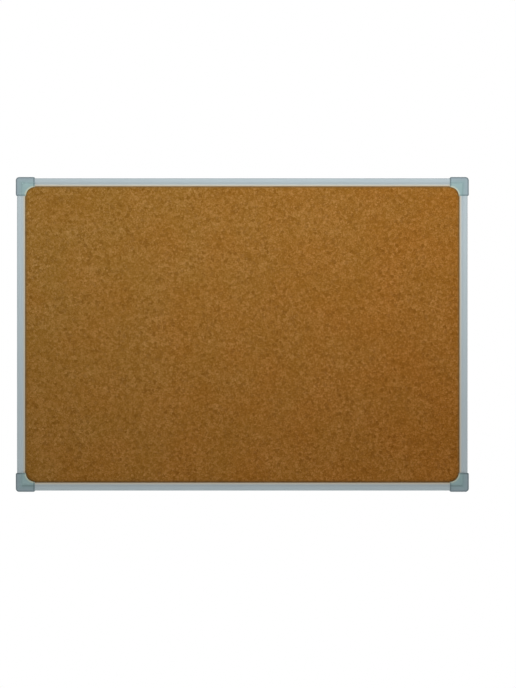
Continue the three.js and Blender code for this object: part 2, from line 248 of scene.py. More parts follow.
# %% [markdown]
# ## Shared finishes
# Grain, wear and dust show on more than one of the board's materials. Each material could hold its
# own copy of their nodes, but then every change is made several times. So each of them is one node
# group, built once and given other values wherever it is used. A group gives out only masks and
# numbers that change over the surface. The shader stays in the material, where the export reads it.


# %% Helpers for node groups
def new_group(name, kind, inputs, outputs):
    """An empty node group with named inputs, each with its first value, and named outputs."""
    tree = bpy.data.node_groups.new(name, kind)
    for label, socket, value in inputs:
        made = tree.interface.new_socket(name=label, in_out="INPUT", socket_type=socket)
        if value is not None:
            made.default_value = value
    for label, socket in outputs:
        tree.interface.new_socket(name=label, in_out="OUTPUT", socket_type=socket)
    return tree, tree.nodes.new("NodeGroupInput").outputs, tree.nodes.new("NodeGroupOutput").inputs


def noise(tree, vector, size, detail=2.0, roughness=0.5):
    """Cloudy noise whose lumps are about size across."""
    scale = maths(tree, "DIVIDE", 1.0, size)
    node = put(tree, "ShaderNodeTexNoise",
               {"Vector": vector, "Scale": scale, "Detail": detail, "Roughness": roughness})
    return node.outputs["Fac"]


def spread(tree, value, low, high, to_low=0.0, to_high=1.0):
    """Stretches a value's range, and clamps what falls outside."""
    return put(tree, "ShaderNodeMapRange",
               {0: value, 1: low, 2: high, 3: to_low, 4: to_high}).outputs[0]


print("node group helpers ready")

# %% [markdown]
# Nothing on the real board is one even colour: cork, metal, plastic and card all drift in soft
# patches and carry fine specks. A picture laid over them could show that, but it repeats and blurs
# close up. Noise at two sizes does neither. Its values seldom stray outside 0.3 to 0.7, so that span is
# stretched over the whole range.

# %% Grain group
NOISE_SPAN = (0.3, 0.7)


def grain_group():
    """Soft patches and fine specks, as two masks from 0 to 1."""
    tree, given, out = new_group(
        "surface_grain", "ShaderNodeTree",
        [("Vector", "NodeSocketVector", None), ("Patch Size", "NodeSocketFloat", 0.03),
         ("Speck Size", "NodeSocketFloat", 0.0008)],
        [("Patches", "NodeSocketFloat"), ("Specks", "NodeSocketFloat")],
    )
    patches = noise(tree, given["Vector"], given["Patch Size"], detail=3.0)
    specks = noise(tree, given["Vector"], given["Speck Size"], detail=3.0, roughness=0.65)
    tree.links.new(spread(tree, patches, *NOISE_SPAN), out["Patches"])
    tree.links.new(spread(tree, specks, 0.25, 0.75), out["Specks"])
    return tree


surface_grain = grain_group()
print("shader group:", surface_grain.name)

# %% [markdown]
# Edges rub bright first, on metal and plastic alike. Wear could be painted along them by hand, but
# it would have to be painted again after each change of shape. The Bevel node finds the edges by
# itself: its softened normal differs from the true one only near an edge. Wear starts where the two
# are a few degrees apart, and noise then breaks the line up, as handling does.

# %% Edge wear group
WEAR_STARTS_COSINE = 0.995
WEAR_FULL_COSINE = 0.85


def edge_wear_group():
    """A mask of the edges, broken up."""
    tree, given, out = new_group(
        "edge_wear", "ShaderNodeTree",
        [("Vector", "NodeSocketVector", None), ("Width", "NodeSocketFloat", 0.0003),
         ("Break Up", "NodeSocketFloat", 0.004)],
        [("Mask", "NodeSocketFloat")],
    )
    soft = put(tree, "ShaderNodeBevel", {"Radius": given["Width"]}, samples=4)
    true = put(tree, "ShaderNodeNewGeometry")
    dot = put(tree, "ShaderNodeVectorMath",
              {0: soft.outputs[0], 1: true.outputs["Normal"]}, operation="DOT_PRODUCT")
    bend = spread(tree, dot.outputs["Value"], WEAR_STARTS_COSINE, WEAR_FULL_COSINE)
    breaks = noise(tree, given["Vector"], given["Break Up"], detail=4.0, roughness=0.7)
    broken = spread(tree, breaks, 0.35, 0.65)
    tree.links.new(maths(tree, "MULTIPLY", bend, broken), out["Mask"])
    return tree


edge_wear = edge_wear_group()
print("shader group:", edge_wear.name)

# %% [markdown]
# Dust settles where a surface faces up, such as the top rail's outer edge and the bottom rail's
# slope. It could be strewn as real grains, which are too small to see from here. A mask from the
# upward part of the normal, clouded by noise, costs little and follows every shape. It is true only
# while the board hangs upright, because it goes by the world's directions.

# %% Dust group
DUST_HOLDS_FROM = 0.25


def dust_group():
    """A mask of what faces up, in clouds."""
    tree, given, out = new_group(
        "settled_dust", "ShaderNodeTree",
        [("Vector", "NodeSocketVector", None), ("Patch Size", "NodeSocketFloat", 0.012)],
        [("Mask", "NodeSocketFloat")],
    )
    true = put(tree, "ShaderNodeNewGeometry")
    up = put(tree, "ShaderNodeSeparateXYZ", {0: true.outputs["Normal"]}).outputs["Z"]
    level = spread(tree, up, DUST_HOLDS_FROM, 1.0)
    clouds = noise(tree, given["Vector"], given["Patch Size"], detail=5.0, roughness=0.7)
    patchy = spread(tree, clouds, 0.3, 0.75)
    tree.links.new(maths(tree, "MULTIPLY", level, patchy), out["Mask"])
    return tree


settled_dust = dust_group()
print("shader group:", settled_dust.name)

# %% [markdown]
# Cork board is made of bark granules pressed with a binder. Each granule keeps its own tone, and
# the joints between them are darker and a little sunk. Tens of thousands of them are too many to
# model one by one. The cells of a Voronoi texture are just such packed chips, so one group gives
# each chip a tone, a joint and a height. The cork uses it twice: for the larger chips and for the
# fines between them.

# %% Granule group
JOINT_WIDTH = 0.12
DOME_WIDTH = 0.8
JOINT_SINK = 0.5


def granule_group():
    """Packed chips with ragged outlines: each one's tone and kind, its joint and its height."""
    tree, given, out = new_group(
        "pressed_granules", "ShaderNodeTree",
        [("Vector", "NodeSocketVector", None), ("Chip Size", "NodeSocketFloat", 0.002),
         ("Ragged", "NodeSocketFloat", 0.35)],
        [("Tone", "NodeSocketFloat"), ("Kind", "NodeSocketFloat"),
         ("Joint", "NodeSocketFloat"), ("Height", "NodeSocketFloat")],
    )
    scale = maths(tree, "DIVIDE", 1.0, given["Chip Size"])
    bend = put(tree, "ShaderNodeTexNoise",
               {"Vector": given["Vector"], "Scale": scale, "Detail": 2.0, "Roughness": 0.6})
    centred = put(tree, "ShaderNodeVectorMath",
                  {0: bend.outputs["Color"], 1: (0.5, 0.5, 0.5)}, operation="SUBTRACT")
    reach = maths(tree, "MULTIPLY", given["Chip Size"], given["Ragged"])
    push = put(tree, "ShaderNodeVectorMath",
               {0: centred.outputs[0], "Scale": reach}, operation="SCALE")
    ragged = put(tree, "ShaderNodeVectorMath",
                 {0: given["Vector"], 1: push.outputs[0]}, operation="ADD").outputs[0]
    cells = put(tree, "ShaderNodeTexVoronoi", {"Vector": ragged, "Scale": scale})
    seams = put(tree, "ShaderNodeTexVoronoi", {"Vector": ragged, "Scale": scale},
                feature="DISTANCE_TO_EDGE")
    chance = put(tree, "ShaderNodeSeparateColor", {0: cells.outputs["Color"]})
    joint = spread(tree, seams.outputs["Distance"], 0.0, JOINT_WIDTH, 1.0, 0.0)
    dome = spread(tree, cells.outputs["Distance"], 0.0, DOME_WIDTH, 1.0, 0.0)
    height = maths(tree, "SUBTRACT", dome, maths(tree, "MULTIPLY", joint, JOINT_SINK))
    tree.links.new(chance.outputs[0], out["Tone"])
    tree.links.new(chance.outputs[1], out["Kind"])
    tree.links.new(joint, out["Joint"])
    tree.links.new(height, out["Height"])
    return tree


pressed_granules = granule_group()
print("shader group:", pressed_granules.name)

# %% [markdown]
# ## Materials
# Every finish is one Principled shader. Its colours could be typed as the linear values that shaders
# work in, but nobody can hold those up to a photograph. They are written as they look under plain
# light, from 0 to 255, and turned into linear values here. A value that is the same all over a
# surface is set on the shader's own socket, because the export reads it there.


# %% Colours and new materials
def colour(red, green, blue):
    """A colour as it looks on a screen, by the sRGB curve, as the linear value a shader takes."""
    def linear(value):
        share = value / 255
        return share / 12.92 if share <= 0.04045 else ((share + 0.055) / 1.055) ** 2.4
    return (linear(red), linear(green), linear(blue), 1.0)


def new_material(name, **values):
    """A material with one Principled shader, whose uniform values are set on its own sockets."""
    material = bpy.data.materials.new(name)
    material.use_nodes = True
    tree = material.node_tree
    tree.nodes.clear()
    uniform = {key.replace("_", " "): value for key, value in values.items()}
    shader = put(tree, "ShaderNodeBsdfPrincipled", uniform)
    put(tree, "ShaderNodeOutputMaterial", {"Surface": shader.outputs[0]})
    return material, tree, shader.inputs


def effect(tree, group, **inputs):
    """Places a shared shader group in a material, with this material's values."""
    node = tree.nodes.new("ShaderNodeGroup")
    node.node_tree = group
    for key, value in inputs.items():
        socket = node.inputs[key.replace("_", " ")]
        if isinstance(value, bpy.types.NodeSocket):
            tree.links.new(value, socket)
        else:
            socket.default_value = value
    return node.outputs


print("a mid grey of 128 is", round(colour(128, 128, 128)[0], 3), "in a shader")

# %% [markdown]
# A finish is built up like paint: a base colour, then one thin layer after another, each where its
# mask says. Mixing whole shaders would do it too, but the export keeps only one shader's values. So
# the layers are mixed as colours, and these small helpers keep each layer to one line.


# %% Layers, places and bumps
def blend(tree, amount, first, second, how="MIX"):
    """A mix of two colours."""
    node = put(tree, "ShaderNodeMix", {"Factor": amount, 6: first, 7: second},
               data_type="RGBA", blend_type=how)
    return node.outputs[2]


def tinted(tree, surface, mask, shade, strength):
    """The surface with a layer of another colour, as strong as its mask times its strength."""
    return blend(tree, maths(tree, "MULTIPLY", mask, strength), surface, colour(*shade))


def length_of(tree, ways):
    """The length of a step taken as two numbers."""
    step = put(tree, "ShaderNodeCombineXYZ", {"X": ways[0], "Y": ways[1]})
    return put(tree, "ShaderNodeVectorMath", {0: step.outputs[0]}, operation="LENGTH").outputs["Value"]


def here(tree):
    """The point's own place on the board, in metres."""
    return put(tree, "ShaderNodeTexCoord").outputs["Object"]


def stretched(tree, vector, scale, turn=(0, 0, 0)):
    """A place squeezed along its axes, so that a pattern on it is drawn out along them."""
    return put(tree, "ShaderNodeMapping",
               {"Vector": vector, "Scale": scale, "Rotation": turn}).outputs[0]


def bumped(tree, height, depth, normal_input):
    """Relief, depth metres deep, from a height between 0 and 1."""
    node = put(tree, "ShaderNodeBump", {"Strength": 1.0, "Distance": depth, "Height": height})
    tree.links.new(node.outputs[0], normal_input)


print("material helpers ready")

# %% [markdown]
# ## Cork
# The face is a sheet of pressed cork. At the foot of the frame a thin dark band is painted in, partly
# grime and partly painted shade under the frame's lip. It could be drawn as a separate thin ring, which
# would catch the light as a step. A layer of the material is better, and it needs to know how far each
# point is from the opening's edge, which runs straight beside the rails and curves round the caps.


# %% Where the cork meets the frame
def edge_distance(tree, point):
    """How far a point of the board is inside the opening between the caps, in metres."""
    across = put(tree, "ShaderNodeSeparateXYZ", {0: point}).outputs
    ways = []
    for axis, low, high in (("X", rail_low, rail_high), ("Z", bottom_edge, top_edge)):
        middle = (low + high) / 2 * MM
        half = (high - low) / 2 * MM
        off = maths(tree, "ABSOLUTE", maths(tree, "SUBTRACT", across[axis], middle))
        past = maths(tree, "SUBTRACT", off, half - arm_end * MM)
        ways.append(maths(tree, "MAXIMUM", past, 0.0))
    return maths(tree, "SUBTRACT", (arm_end - cap_inner) * MM, length_of(tree, ways))


print(f"the opening's corners curve round the caps at {arm_end - cap_inner:.1f} mm")

# %% [markdown]
# The cork's colour is tinted redder and darker, more towards its lower right. One tint for the whole
# sheet would be simpler, but in the photograph the sheet turns redder towards its lower right. A slow
# drift in two directions follows that, and soft patches in it keep it from looking like a ramp.

# %% How the cork's tint drifts
DRIFT_TINT = (1.1, 0.86, 0.66, 1.0)
DRIFT_AT_ORIGIN = 0.29
DRIFT_PER_METRE_RIGHT = 1.2
DRIFT_PER_METRE_UP = -1.0
DRIFT_PATCH_SIZE = 0.055
DRIFT_PATCH_SWING = 0.12


def tint_drift(tree, point):
    """How strongly the cork is tinted: in soft patches, and more towards the lower right."""
    across = put(tree, "ShaderNodeSeparateXYZ", {0: point}).outputs
    drift = maths(tree, "MULTIPLY_ADD", across["X"], DRIFT_PER_METRE_RIGHT, DRIFT_AT_ORIGIN)
    drift = maths(tree, "MULTIPLY_ADD", across["Z"], DRIFT_PER_METRE_UP, drift)
    cloud = noise(tree, point, DRIFT_PATCH_SIZE)
    patches = spread(tree, cloud, 0.35, 0.65, -DRIFT_PATCH_SWING, DRIFT_PATCH_SWING)
    return spread(tree, maths(tree, "ADD", drift, patches), 0.0, 1.0)


print(f"aged {DRIFT_AT_ORIGIN:.2f} at the top's middle, and {DRIFT_PER_METRE_RIGHT:.1f} more a metre right")

# %% [markdown]
# The chips' own tones come first, from large chips, fines and specks together. A few chips of dark
# bark and a few pale ones lie among them, and there are soft patches where one handful of granules
# was duller than the next. A photograph of cork would be quicker to put on, but it repeats over a
# sheet this wide. These chips never do. The large ones are about 3 mm across, at which the render's
# grain is as coarse and as strong as the photograph's.

# %% The granules' tones
CHIP_WIDTH = 0.0033
FINE_WIDTH = 0.0012
CHIP_SHARE = 0.33
FINE_SHARE = 0.39
SPECK_SHARE = 0.28
DARK_CORK_AT = 0.12
MIDDLE_CORK_AT = 0.5
LIGHT_CORK_AT = 0.88
DARK_CORK = (113, 75, 20)
MIDDLE_CORK = (137, 98, 41)
LIGHT_CORK = (161, 124, 72)
BARK_CHIPS = (0.9, 0.93)
BARK = (94, 57, 8)
PALE_FINES = (0.88, 0.93)
PALE_CHIP = (182, 143, 90)
DULL_PATCH = (128, 89, 22)


def cork_tones(tree, chips, fines, grain):
    """The granules' colours, before age and use."""
    tone = maths(tree, "MULTIPLY", chips["Tone"], CHIP_SHARE)
    tone = maths(tree, "MULTIPLY_ADD", fines["Tone"], FINE_SHARE, tone)
    tone = maths(tree, "MULTIPLY_ADD", grain["Specks"], SPECK_SHARE, tone)
    ramp = put(tree, "ShaderNodeValToRGB", {0: tone})
    stops = ramp.color_ramp.elements
    stops[0].position = DARK_CORK_AT
    stops[0].color = colour(*DARK_CORK)
    stops[1].position = LIGHT_CORK_AT
    stops[1].color = colour(*LIGHT_CORK)
    stops.new(MIDDLE_CORK_AT).color = colour(*MIDDLE_CORK)
    bark = spread(tree, chips["Kind"], *BARK_CHIPS, to_high=0.4)
    surface = blend(tree, bark, ramp.outputs[0], colour(*BARK))
    pale = spread(tree, fines["Kind"], *PALE_FINES, to_high=0.26)
    surface = blend(tree, pale, surface, colour(*PALE_CHIP))
    dull = spread(tree, grain["Patches"], 0.0, 1.0, to_high=0.3)
    return blend(tree, dull, surface, colour(*DULL_PATCH))


print(f"tones: {CHIP_SHARE:.0%} chips, {FINE_SHARE:.0%} fines, {SPECK_SHARE:.0%} specks")

# %% [markdown]
# The rest goes on in layers: the drifting tint, then the dirt that fills the joints, then, over
# everything, the band at the frame's foot, which is grime and painted shade. Painted in another order,
# the tint would colour that band as well. The bump is worked out from the same chips, so that a chip's
# relief lies where its colour does.

# %% Cork
JOINT_STRENGTH = 0.26
EDGE_SHADE_FADE = (-0.0004, 0.0025)
EDGE_SHADE_AND_GRIME = (100, 84, 55)
FINE_HEIGHT = 0.5
SPECK_HEIGHT = 0.25
CORK_BUMP = 0.0002


def cork_material():
    """Pressed cork: its granules, then its drifting tint, its joints, and grime and painted shade at its
    edge.
    """
    material, tree, shader = new_material(
        "pressed_cork", Roughness=0.9, Specular_IOR_Level=0.1)
    point = here(tree)
    chips = effect(tree, pressed_granules, Vector=point, Chip_Size=CHIP_WIDTH, Ragged=0.7)
    fines = effect(tree, pressed_granules, Vector=point, Chip_Size=FINE_WIDTH, Ragged=0.6)
    grain = effect(tree, surface_grain, Vector=point, Patch_Size=0.045, Speck_Size=0.0005)
    surface = cork_tones(tree, chips, fines, grain)
    # the tint drifts redder and darker towards the lower right
    surface = blend(tree, tint_drift(tree, point), surface, DRIFT_TINT, "MULTIPLY")
    surface = tinted(tree, surface, chips["Joint"], BARK, JOINT_STRENGTH)
    # grime and painted shade: the cork darkens in a thin band beside the frame and round the caps
    edge_shade = spread(tree, edge_distance(tree, point), *EDGE_SHADE_FADE, to_low=0.62, to_high=0.0)
    surface = blend(tree, edge_shade, surface, colour(*EDGE_SHADE_AND_GRIME))
    tree.links.new(surface, shader["Base Color"])

    height = maths(tree, "MULTIPLY_ADD", fines["Height"], FINE_HEIGHT, chips["Height"])
    height = maths(tree, "MULTIPLY_ADD", grain["Specks"], SPECK_HEIGHT, height)
    bumped(tree, height, CORK_BUMP, shader["Normal"])
    return material


cork = cork_material()
print("material:", cork.name)

# %% [markdown]
# ## Satin aluminium
# The rails are extruded aluminium, etched and anodised to a satin grey. The die leaves faint lines
# along their length. The shader's own anisotropy would stretch the highlights, but it draws no lines.
# So a fine noise is stretched along each rail. It is read from the rail's section coordinates, kept
# on the mesh as the attribute "place", and so it runs the right way on all four.
# The same coordinates find the inner lip, where light bounces off the cork. The renderer
# bounces light off the cork by itself, but the photograph shows more warmth there than that gives.
# So a thin warm layer of painted reflection makes up the rest, and it stays in the finish under any other
# light.

# %% The painted reflection on the lip
FRONT_SKIN = 1.0
LIP_REFLECTION_START = -0.0004
LIP_REFLECTION_FULL = 0.0022


def lip_reflection_mask(tree, place):
    """A mask of the painted reflection on the rail's inner lip, on its front only."""
    section = put(tree, "ShaderNodeSeparateXYZ", {0: place}).outputs
    foot = land_start * MM
    lip = spread(tree, section["Y"], foot + LIP_REFLECTION_START, foot + LIP_REFLECTION_FULL, to_high=0.7)
    front = spread(tree, section["Z"], (cork_front - FRONT_SKIN) * MM, cork_front * MM)
    return maths(tree, "MULTIPLY", lip, front)


print(f"the warm lip starts {land_start + LIP_REFLECTION_START / MM:.1f} mm from the rail's outer edge")

# %% [markdown]
# The metal's tone wanders between two greys with the die lines. Edges are rubbed brighter and
# smoother, and dust pales and dulls what faces up. A fully metallic shader would be the first choice.
# Tried under these lamps, it left the top rail 30 to 50 levels out of 255 darker than in the
# photograph. Part metallic, it takes light from the lamps as well, and comes within about ten levels
# there. It will look less like bare metal than the real one under lamps that do show in it.

# %% Satin aluminium
LINE_STRETCH = (0.012, 1, 1)
LINE_WIDTH = 0.00022
METAL_DARK = (157, 169, 173)
METAL_LIGHT = (168, 179, 183)
METAL_PATCH = (158, 169, 174)
METAL_WORN = (206, 210, 212)
PAINTED_LIP_REFLECTION = (184, 164, 128)
METAL_DUST = (190, 188, 182)
METAL_ROUGH = (0.44, 0.54)
DUST_DULLS = 0.12
WEAR_SMOOTHS = -0.08
SPECK_RELIEF = 0.4
METAL_BUMP = 0.000012


def aluminium_material():
    """Anodised aluminium with die lines along the rail."""
    material, tree, shader = new_material(
        "satin_anodised_aluminium", Metallic=0.35, Specular_IOR_Level=0.5)
    place = put(tree, "ShaderNodeAttribute", attribute_name="place").outputs["Vector"]
    point = here(tree)
    lines = noise(tree, stretched(tree, place, LINE_STRETCH), LINE_WIDTH, roughness=0.6)
    grain = effect(tree, surface_grain, Vector=point, Patch_Size=0.05, Speck_Size=0.0004)
    wear = effect(tree, edge_wear, Vector=point, Width=0.0003, Break_Up=0.006)
    dust = effect(tree, settled_dust, Vector=point, Patch_Size=0.014)
    marks = spread(tree, lines, *NOISE_SPAN)
    surface = blend(tree, marks, colour(*METAL_DARK), colour(*METAL_LIGHT))
    surface = tinted(tree, surface, grain["Patches"], METAL_PATCH, strength=0.25)
    # painted reflection of the cork on the rail's inner lip
    surface = blend(tree, lip_reflection_mask(tree, place), surface, colour(*PAINTED_LIP_REFLECTION))
    surface = tinted(tree, surface, wear["Mask"], METAL_WORN, strength=0.3)
    surface = tinted(tree, surface, dust["Mask"], METAL_DUST, strength=0.14)
    tree.links.new(surface, shader["Base Color"])

    rough = spread(tree, lines, *NOISE_SPAN, *METAL_ROUGH)
    rough = maths(tree, "MULTIPLY_ADD", dust["Mask"], DUST_DULLS, rough)
    rough = maths(tree, "MULTIPLY_ADD", wear["Mask"], WEAR_SMOOTHS, rough)
    tree.links.new(rough, shader["Roughness"])
    height = maths(tree, "MULTIPLY_ADD", grain["Specks"], SPECK_RELIEF, lines)
    bumped(tree, height, METAL_BUMP, shader["Normal"])
    return material


aluminium = aluminium_material()
print("material:", aluminium.name)

# %% [markdown]
# ## Cap plastic
# The caps are injection moulded in a grey-green plastic. A darker line just inside a cap's outline is
# painted shade of its rounded rim, and the thin web at the cork is painted paler and warmer as a
# reflection of the cork. Such bands could be painted on each cap, or cut in as separate faces. Here they
# are worked out from where a point lies on the cap, which gives all four caps the same bands and keeps
# the mesh plain.

# %% Where a point lies on a cap
CAP_CORNER_RADIUS = 4.5


def cap_places(tree):
    """How far a point is across an arm, inside the cap's outline, and from its inner curve."""
    place = put(tree, "ShaderNodeAttribute", attribute_name="place").outputs["Vector"]
    parts = put(tree, "ShaderNodeSeparateXYZ", {0: place}).outputs
    along, inwards = parts["X"], parts["Y"]
    to_end = [maths(tree, "SUBTRACT", arm_end * MM, way) for way in (along, inwards)]
    radius, edge = CAP_CORNER_RADIUS * MM, cap_proud * MM
    short = [maths(tree, "MAXIMUM", maths(tree, "SUBTRACT", radius - edge, way), 0.0)
             for way in (along, inwards)]
    corner = maths(tree, "SUBTRACT", radius, length_of(tree, short))
    rim = maths(tree, "MINIMUM", corner, maths(tree, "MINIMUM", *to_end))
    curve_radius = (arm_end - cap_inner) * MM
    curve = maths(tree, "SUBTRACT", length_of(tree, to_end), curve_radius)
    return maths(tree, "MINIMUM", along, inwards), rim, curve


print(f"a cap's outer corner has a radius of {CAP_CORNER_RADIUS:.1f} mm")

# %% [markdown]
# Each band is one more layer over the plastic: bluer towards the outside, paler towards the cork as
# painted light that lifts the slope's shade, and palest on the web as a painted reflection of the cork,
# with a darker line of painted shade inside the outline. The front rim rolls away from the light, and its
# shade is painted in as well. It could be one more distance band, but the inner curve and the sides
# darken too, and each would need its own. So it goes by how far the surface has turned from facing
# forwards, which takes in all of them while the board hangs as it does here.

# %% The cap's bands
OUTER_BAND = (141, 147, 158)
PAINTED_SLOPE_LIGHT = (160, 178, 176)
WEB_REFLECTION_FADE = (0.0008, 0.0024)
PAINTED_WEB_REFLECTION = (192, 192, 160)
OUTLINE_SHADE_RISE = (0.0002, 0.0006)
OUTLINE_SHADE_FALL = (0.0014, 0.0020)
OUTLINE_SHADE_STRENGTH = 0.64
PAINTED_OUTLINE_SHADE = (80, 94, 98)
RIM_SHADE_FACING = (0.93, 0.6)
PAINTED_RIM_SHADE = (84, 104, 109)


def cap_bands(tree, surface):
    """The tints that follow the cap's shape, with painted light and shade among them."""
    across, rim, curve = cap_places(tree)
    outer = spread(tree, across, 0.0, land_start * MM, to_low=0.55, to_high=0.0)
    surface = blend(tree, outer, surface, colour(*OUTER_BAND))
    # painted light: the slope and the land beyond it are lightened to even out the slope's shade
    inside = spread(tree, across, outer_band * MM, land_start * MM, to_high=0.2)
    surface = blend(tree, inside, surface, colour(*PAINTED_SLOPE_LIGHT))
    # painted reflection of the cork on the web at the cap's inner curve
    pale = spread(tree, curve, *WEB_REFLECTION_FADE, to_low=0.56, to_high=0.0)
    surface = blend(tree, pale, surface, colour(*PAINTED_WEB_REFLECTION))
    # painted shade: a darker line just inside the outline, where the rim rounds away
    rising = spread(tree, rim, *OUTLINE_SHADE_RISE, to_high=OUTLINE_SHADE_STRENGTH)
    falling = spread(tree, rim, *OUTLINE_SHADE_FALL, to_low=OUTLINE_SHADE_STRENGTH, to_high=0.0)
    outline_shade = maths(tree, "MINIMUM", rising, falling)
    surface = blend(tree, outline_shade, surface, colour(*PAINTED_OUTLINE_SHADE))
    # painted shade on the rim, darker as it turns away from facing forwards
    normal = put(tree, "ShaderNodeNewGeometry").outputs["Normal"]
    outwards = put(tree, "ShaderNodeSeparateXYZ", {0: normal}).outputs["Y"]
    facing = maths(tree, "MULTIPLY", outwards, -1.0)
    rim_shade = spread(tree, facing, *RIM_SHADE_FACING, to_high=0.45)
    return blend(tree, rim_shade, surface, colour(*PAINTED_RIM_SHADE))


print(f"the handled line ends {OUTLINE_SHADE_FALL[1] / MM:.1f} mm inside a cap's outline")

# %% [markdown]
# The bands go over a base of finely mottled plastic. The mould was spark-eroded, which gives a tight
# matt texture, and the plastic flowed in soft marks a few millimetres wide. One flat colour with
# noise in its roughness would look moulded from afar, but not beside the photograph. Rubbed edges are
# paler and smoother, and dust lies on what faces up.

# %% Cap plastic
PLASTIC_DARK = (121, 145, 146)
PLASTIC_LIGHT = (131, 155, 156)
PLASTIC_SPECK = (104, 130, 132)
PLASTIC_WORN = (150, 168, 168)
PLASTIC_DUST = (186, 186, 180)
PLASTIC_ROUGH = (0.46, 0.56)
PLASTIC_WEAR_SMOOTHS = -0.12
PLASTIC_BUMP = 0.00003


def cap_material():
    """Moulded plastic with a fine eroded texture, flow marks and the cap's bands, partly painted light
    and shade.
    """
    material, tree, shader = new_material(
        "moulded_cap_plastic", Specular_IOR_Level=0.28)
    point = here(tree)
    grain = effect(tree, surface_grain, Vector=point, Patch_Size=0.007, Speck_Size=0.00032)
    wear = effect(tree, edge_wear, Vector=point, Width=0.0004, Break_Up=0.003)
    dust = effect(tree, settled_dust, Vector=point, Patch_Size=0.006)
    surface = blend(tree, grain["Patches"], colour(*PLASTIC_DARK), colour(*PLASTIC_LIGHT))
    surface = tinted(tree, surface, grain["Specks"], PLASTIC_SPECK, strength=0.2)
    surface = cap_bands(tree, surface)
    surface = tinted(tree, surface, wear["Mask"], PLASTIC_WORN, strength=0.25)
    surface = tinted(tree, surface, dust["Mask"], PLASTIC_DUST, strength=0.12)
    tree.links.new(surface, shader["Base Color"])

    rough = spread(tree, grain["Patches"], 0.0, 1.0, *PLASTIC_ROUGH)
    rough = maths(tree, "MULTIPLY_ADD", wear["Mask"], PLASTIC_WEAR_SMOOTHS, rough)
    tree.links.new(rough, shader["Roughness"])
    bumped(tree, grain["Specks"], PLASTIC_BUMP, shader["Normal"])
    return material


cap_plastic = cap_material()
print("material:", cap_plastic.name)

# %% [markdown]
# ## Zinc
# The cap screws are plated with bright zinc, and the stamped hangers with a duller, brushed coat.
# They could be two unrelated materials, but they are one metal in two states. One function makes
# both, from their tones, their roughness and how far their brush marks are drawn out.

# %% Zinc on the screws and hangers
ZINC_LINE = 0.0003
ZINC_WORN = (216, 216, 214)
ZINC_BUMP = 0.00001


def zinc_material(name, light, dark, rough, brush):
    """Plated steel whose marks are drawn out by the brush."""
    material, tree, shader = new_material(name, Metallic=1.0)
    point = here(tree)
    lines = noise(tree, stretched(tree, point, brush), ZINC_LINE, detail=3.0, roughness=0.6)
    grain = effect(tree, surface_grain, Vector=point, Patch_Size=0.004, Speck_Size=0.0003)
    wear = effect(tree, edge_wear, Vector=point, Width=0.0002, Break_Up=0.002)
    surface = blend(tree, spread(tree, lines, *NOISE_SPAN), colour(*dark), colour(*light))
    surface = tinted(tree, surface, grain["Patches"], dark, strength=0.35)
    surface = tinted(tree, surface, wear["Mask"], ZINC_WORN, strength=0.6)
    tree.links.new(surface, shader["Base Color"])

    tree.links.new(spread(tree, lines, *NOISE_SPAN, *rough), shader["Roughness"])
    height = maths(tree, "MULTIPLY_ADD", grain["Specks"], SPECK_RELIEF, lines)
    bumped(tree, height, ZINC_BUMP, shader["Normal"])
    return material


screw_zinc = zinc_material("bright_zinc", light=(206, 207, 206), dark=(172, 174, 176),
                           rough=(0.2, 0.32), brush=(1, 1, 1))
hanger_zinc = zinc_material("brushed_zinc", light=(194, 196, 196), dark=(158, 161, 164),
                            rough=(0.3, 0.45), brush=(0.04, 1, 1))
print("materials:", screw_zinc.name, hanger_zinc.name)

# %% [markdown]
# ## Backing board
# Grey-brown paperboard closes the panel's back. Its fibres lie mostly along the roll it came from,
# and a few lie across. A plain brown would pass in a small picture, but from behind this sheet fills
# the view. Two stretched noises, one for each lie of the fibres, give it the look of pulp.

# %% Backing board
ALONG_ROLL = (0.22, 1, 1)
ACROSS_ROLL = (1, 1, 0.3)
FIBRE_TILT = (0, 0.5, 0)
LONG_FIBRE_WIDTH = 0.0009
CROSS_FIBRE_WIDTH = 0.0012
PULP_DARK = (122, 108, 88)
PULP_LIGHT = (150, 135, 112)
CROSS_FIBRE = (172, 158, 134)
PULP_SPECK = (84, 70, 54)
PULP_PATCH = (116, 102, 84)
BACKING_BUMP = 0.00006


def backing_material():
    """Paperboard with long fibres, cross fibres, dark specks and soft patches."""
    material, tree, shader = new_material(
        "grey_backing_board", Roughness=0.9, Specular_IOR_Level=0.2)
    point = here(tree)
    grain = effect(tree, surface_grain, Vector=point, Patch_Size=0.06, Speck_Size=0.0012)
    along = stretched(tree, point, ALONG_ROLL)
    across = stretched(tree, point, ACROSS_ROLL, FIBRE_TILT)
    fibres = noise(tree, along, LONG_FIBRE_WIDTH, detail=4.0, roughness=0.75)
    cross = noise(tree, across, CROSS_FIBRE_WIDTH, detail=4.0, roughness=0.7)
    long_marks = spread(tree, fibres, 0.35, 0.65)
    cross_marks = spread(tree, cross, 0.55, 0.72, to_high=0.5)
    dark_specks = spread(tree, grain["Specks"], 0.0, 0.25, to_low=0.7, to_high=0.0)
    surface = blend(tree, long_marks, colour(*PULP_DARK), colour(*PULP_LIGHT))
    surface = blend(tree, cross_marks, surface, colour(*CROSS_FIBRE))
    surface = blend(tree, dark_specks, surface, colour(*PULP_SPECK))
    surface = tinted(tree, surface, grain["Patches"], PULP_PATCH, strength=0.2)
    tree.links.new(surface, shader["Base Color"])
    bumped(tree, maths(tree, "ADD", fibres, cross), BACKING_BUMP, shader["Normal"])
    return material


backing = backing_material()
print("material:", backing.name)

# %% [markdown]
# ## Softboard
# The core under the cork is softboard, raw wood fibre pressed so lightly that a pin goes in by hand.
# The frame hides it, and it could be left plain. It has a finish all the same, because the board may
# be shown taken apart. Its fibres are coarse and lie in the sheet, so their noise is stretched both
# ways in the sheet and not through it.

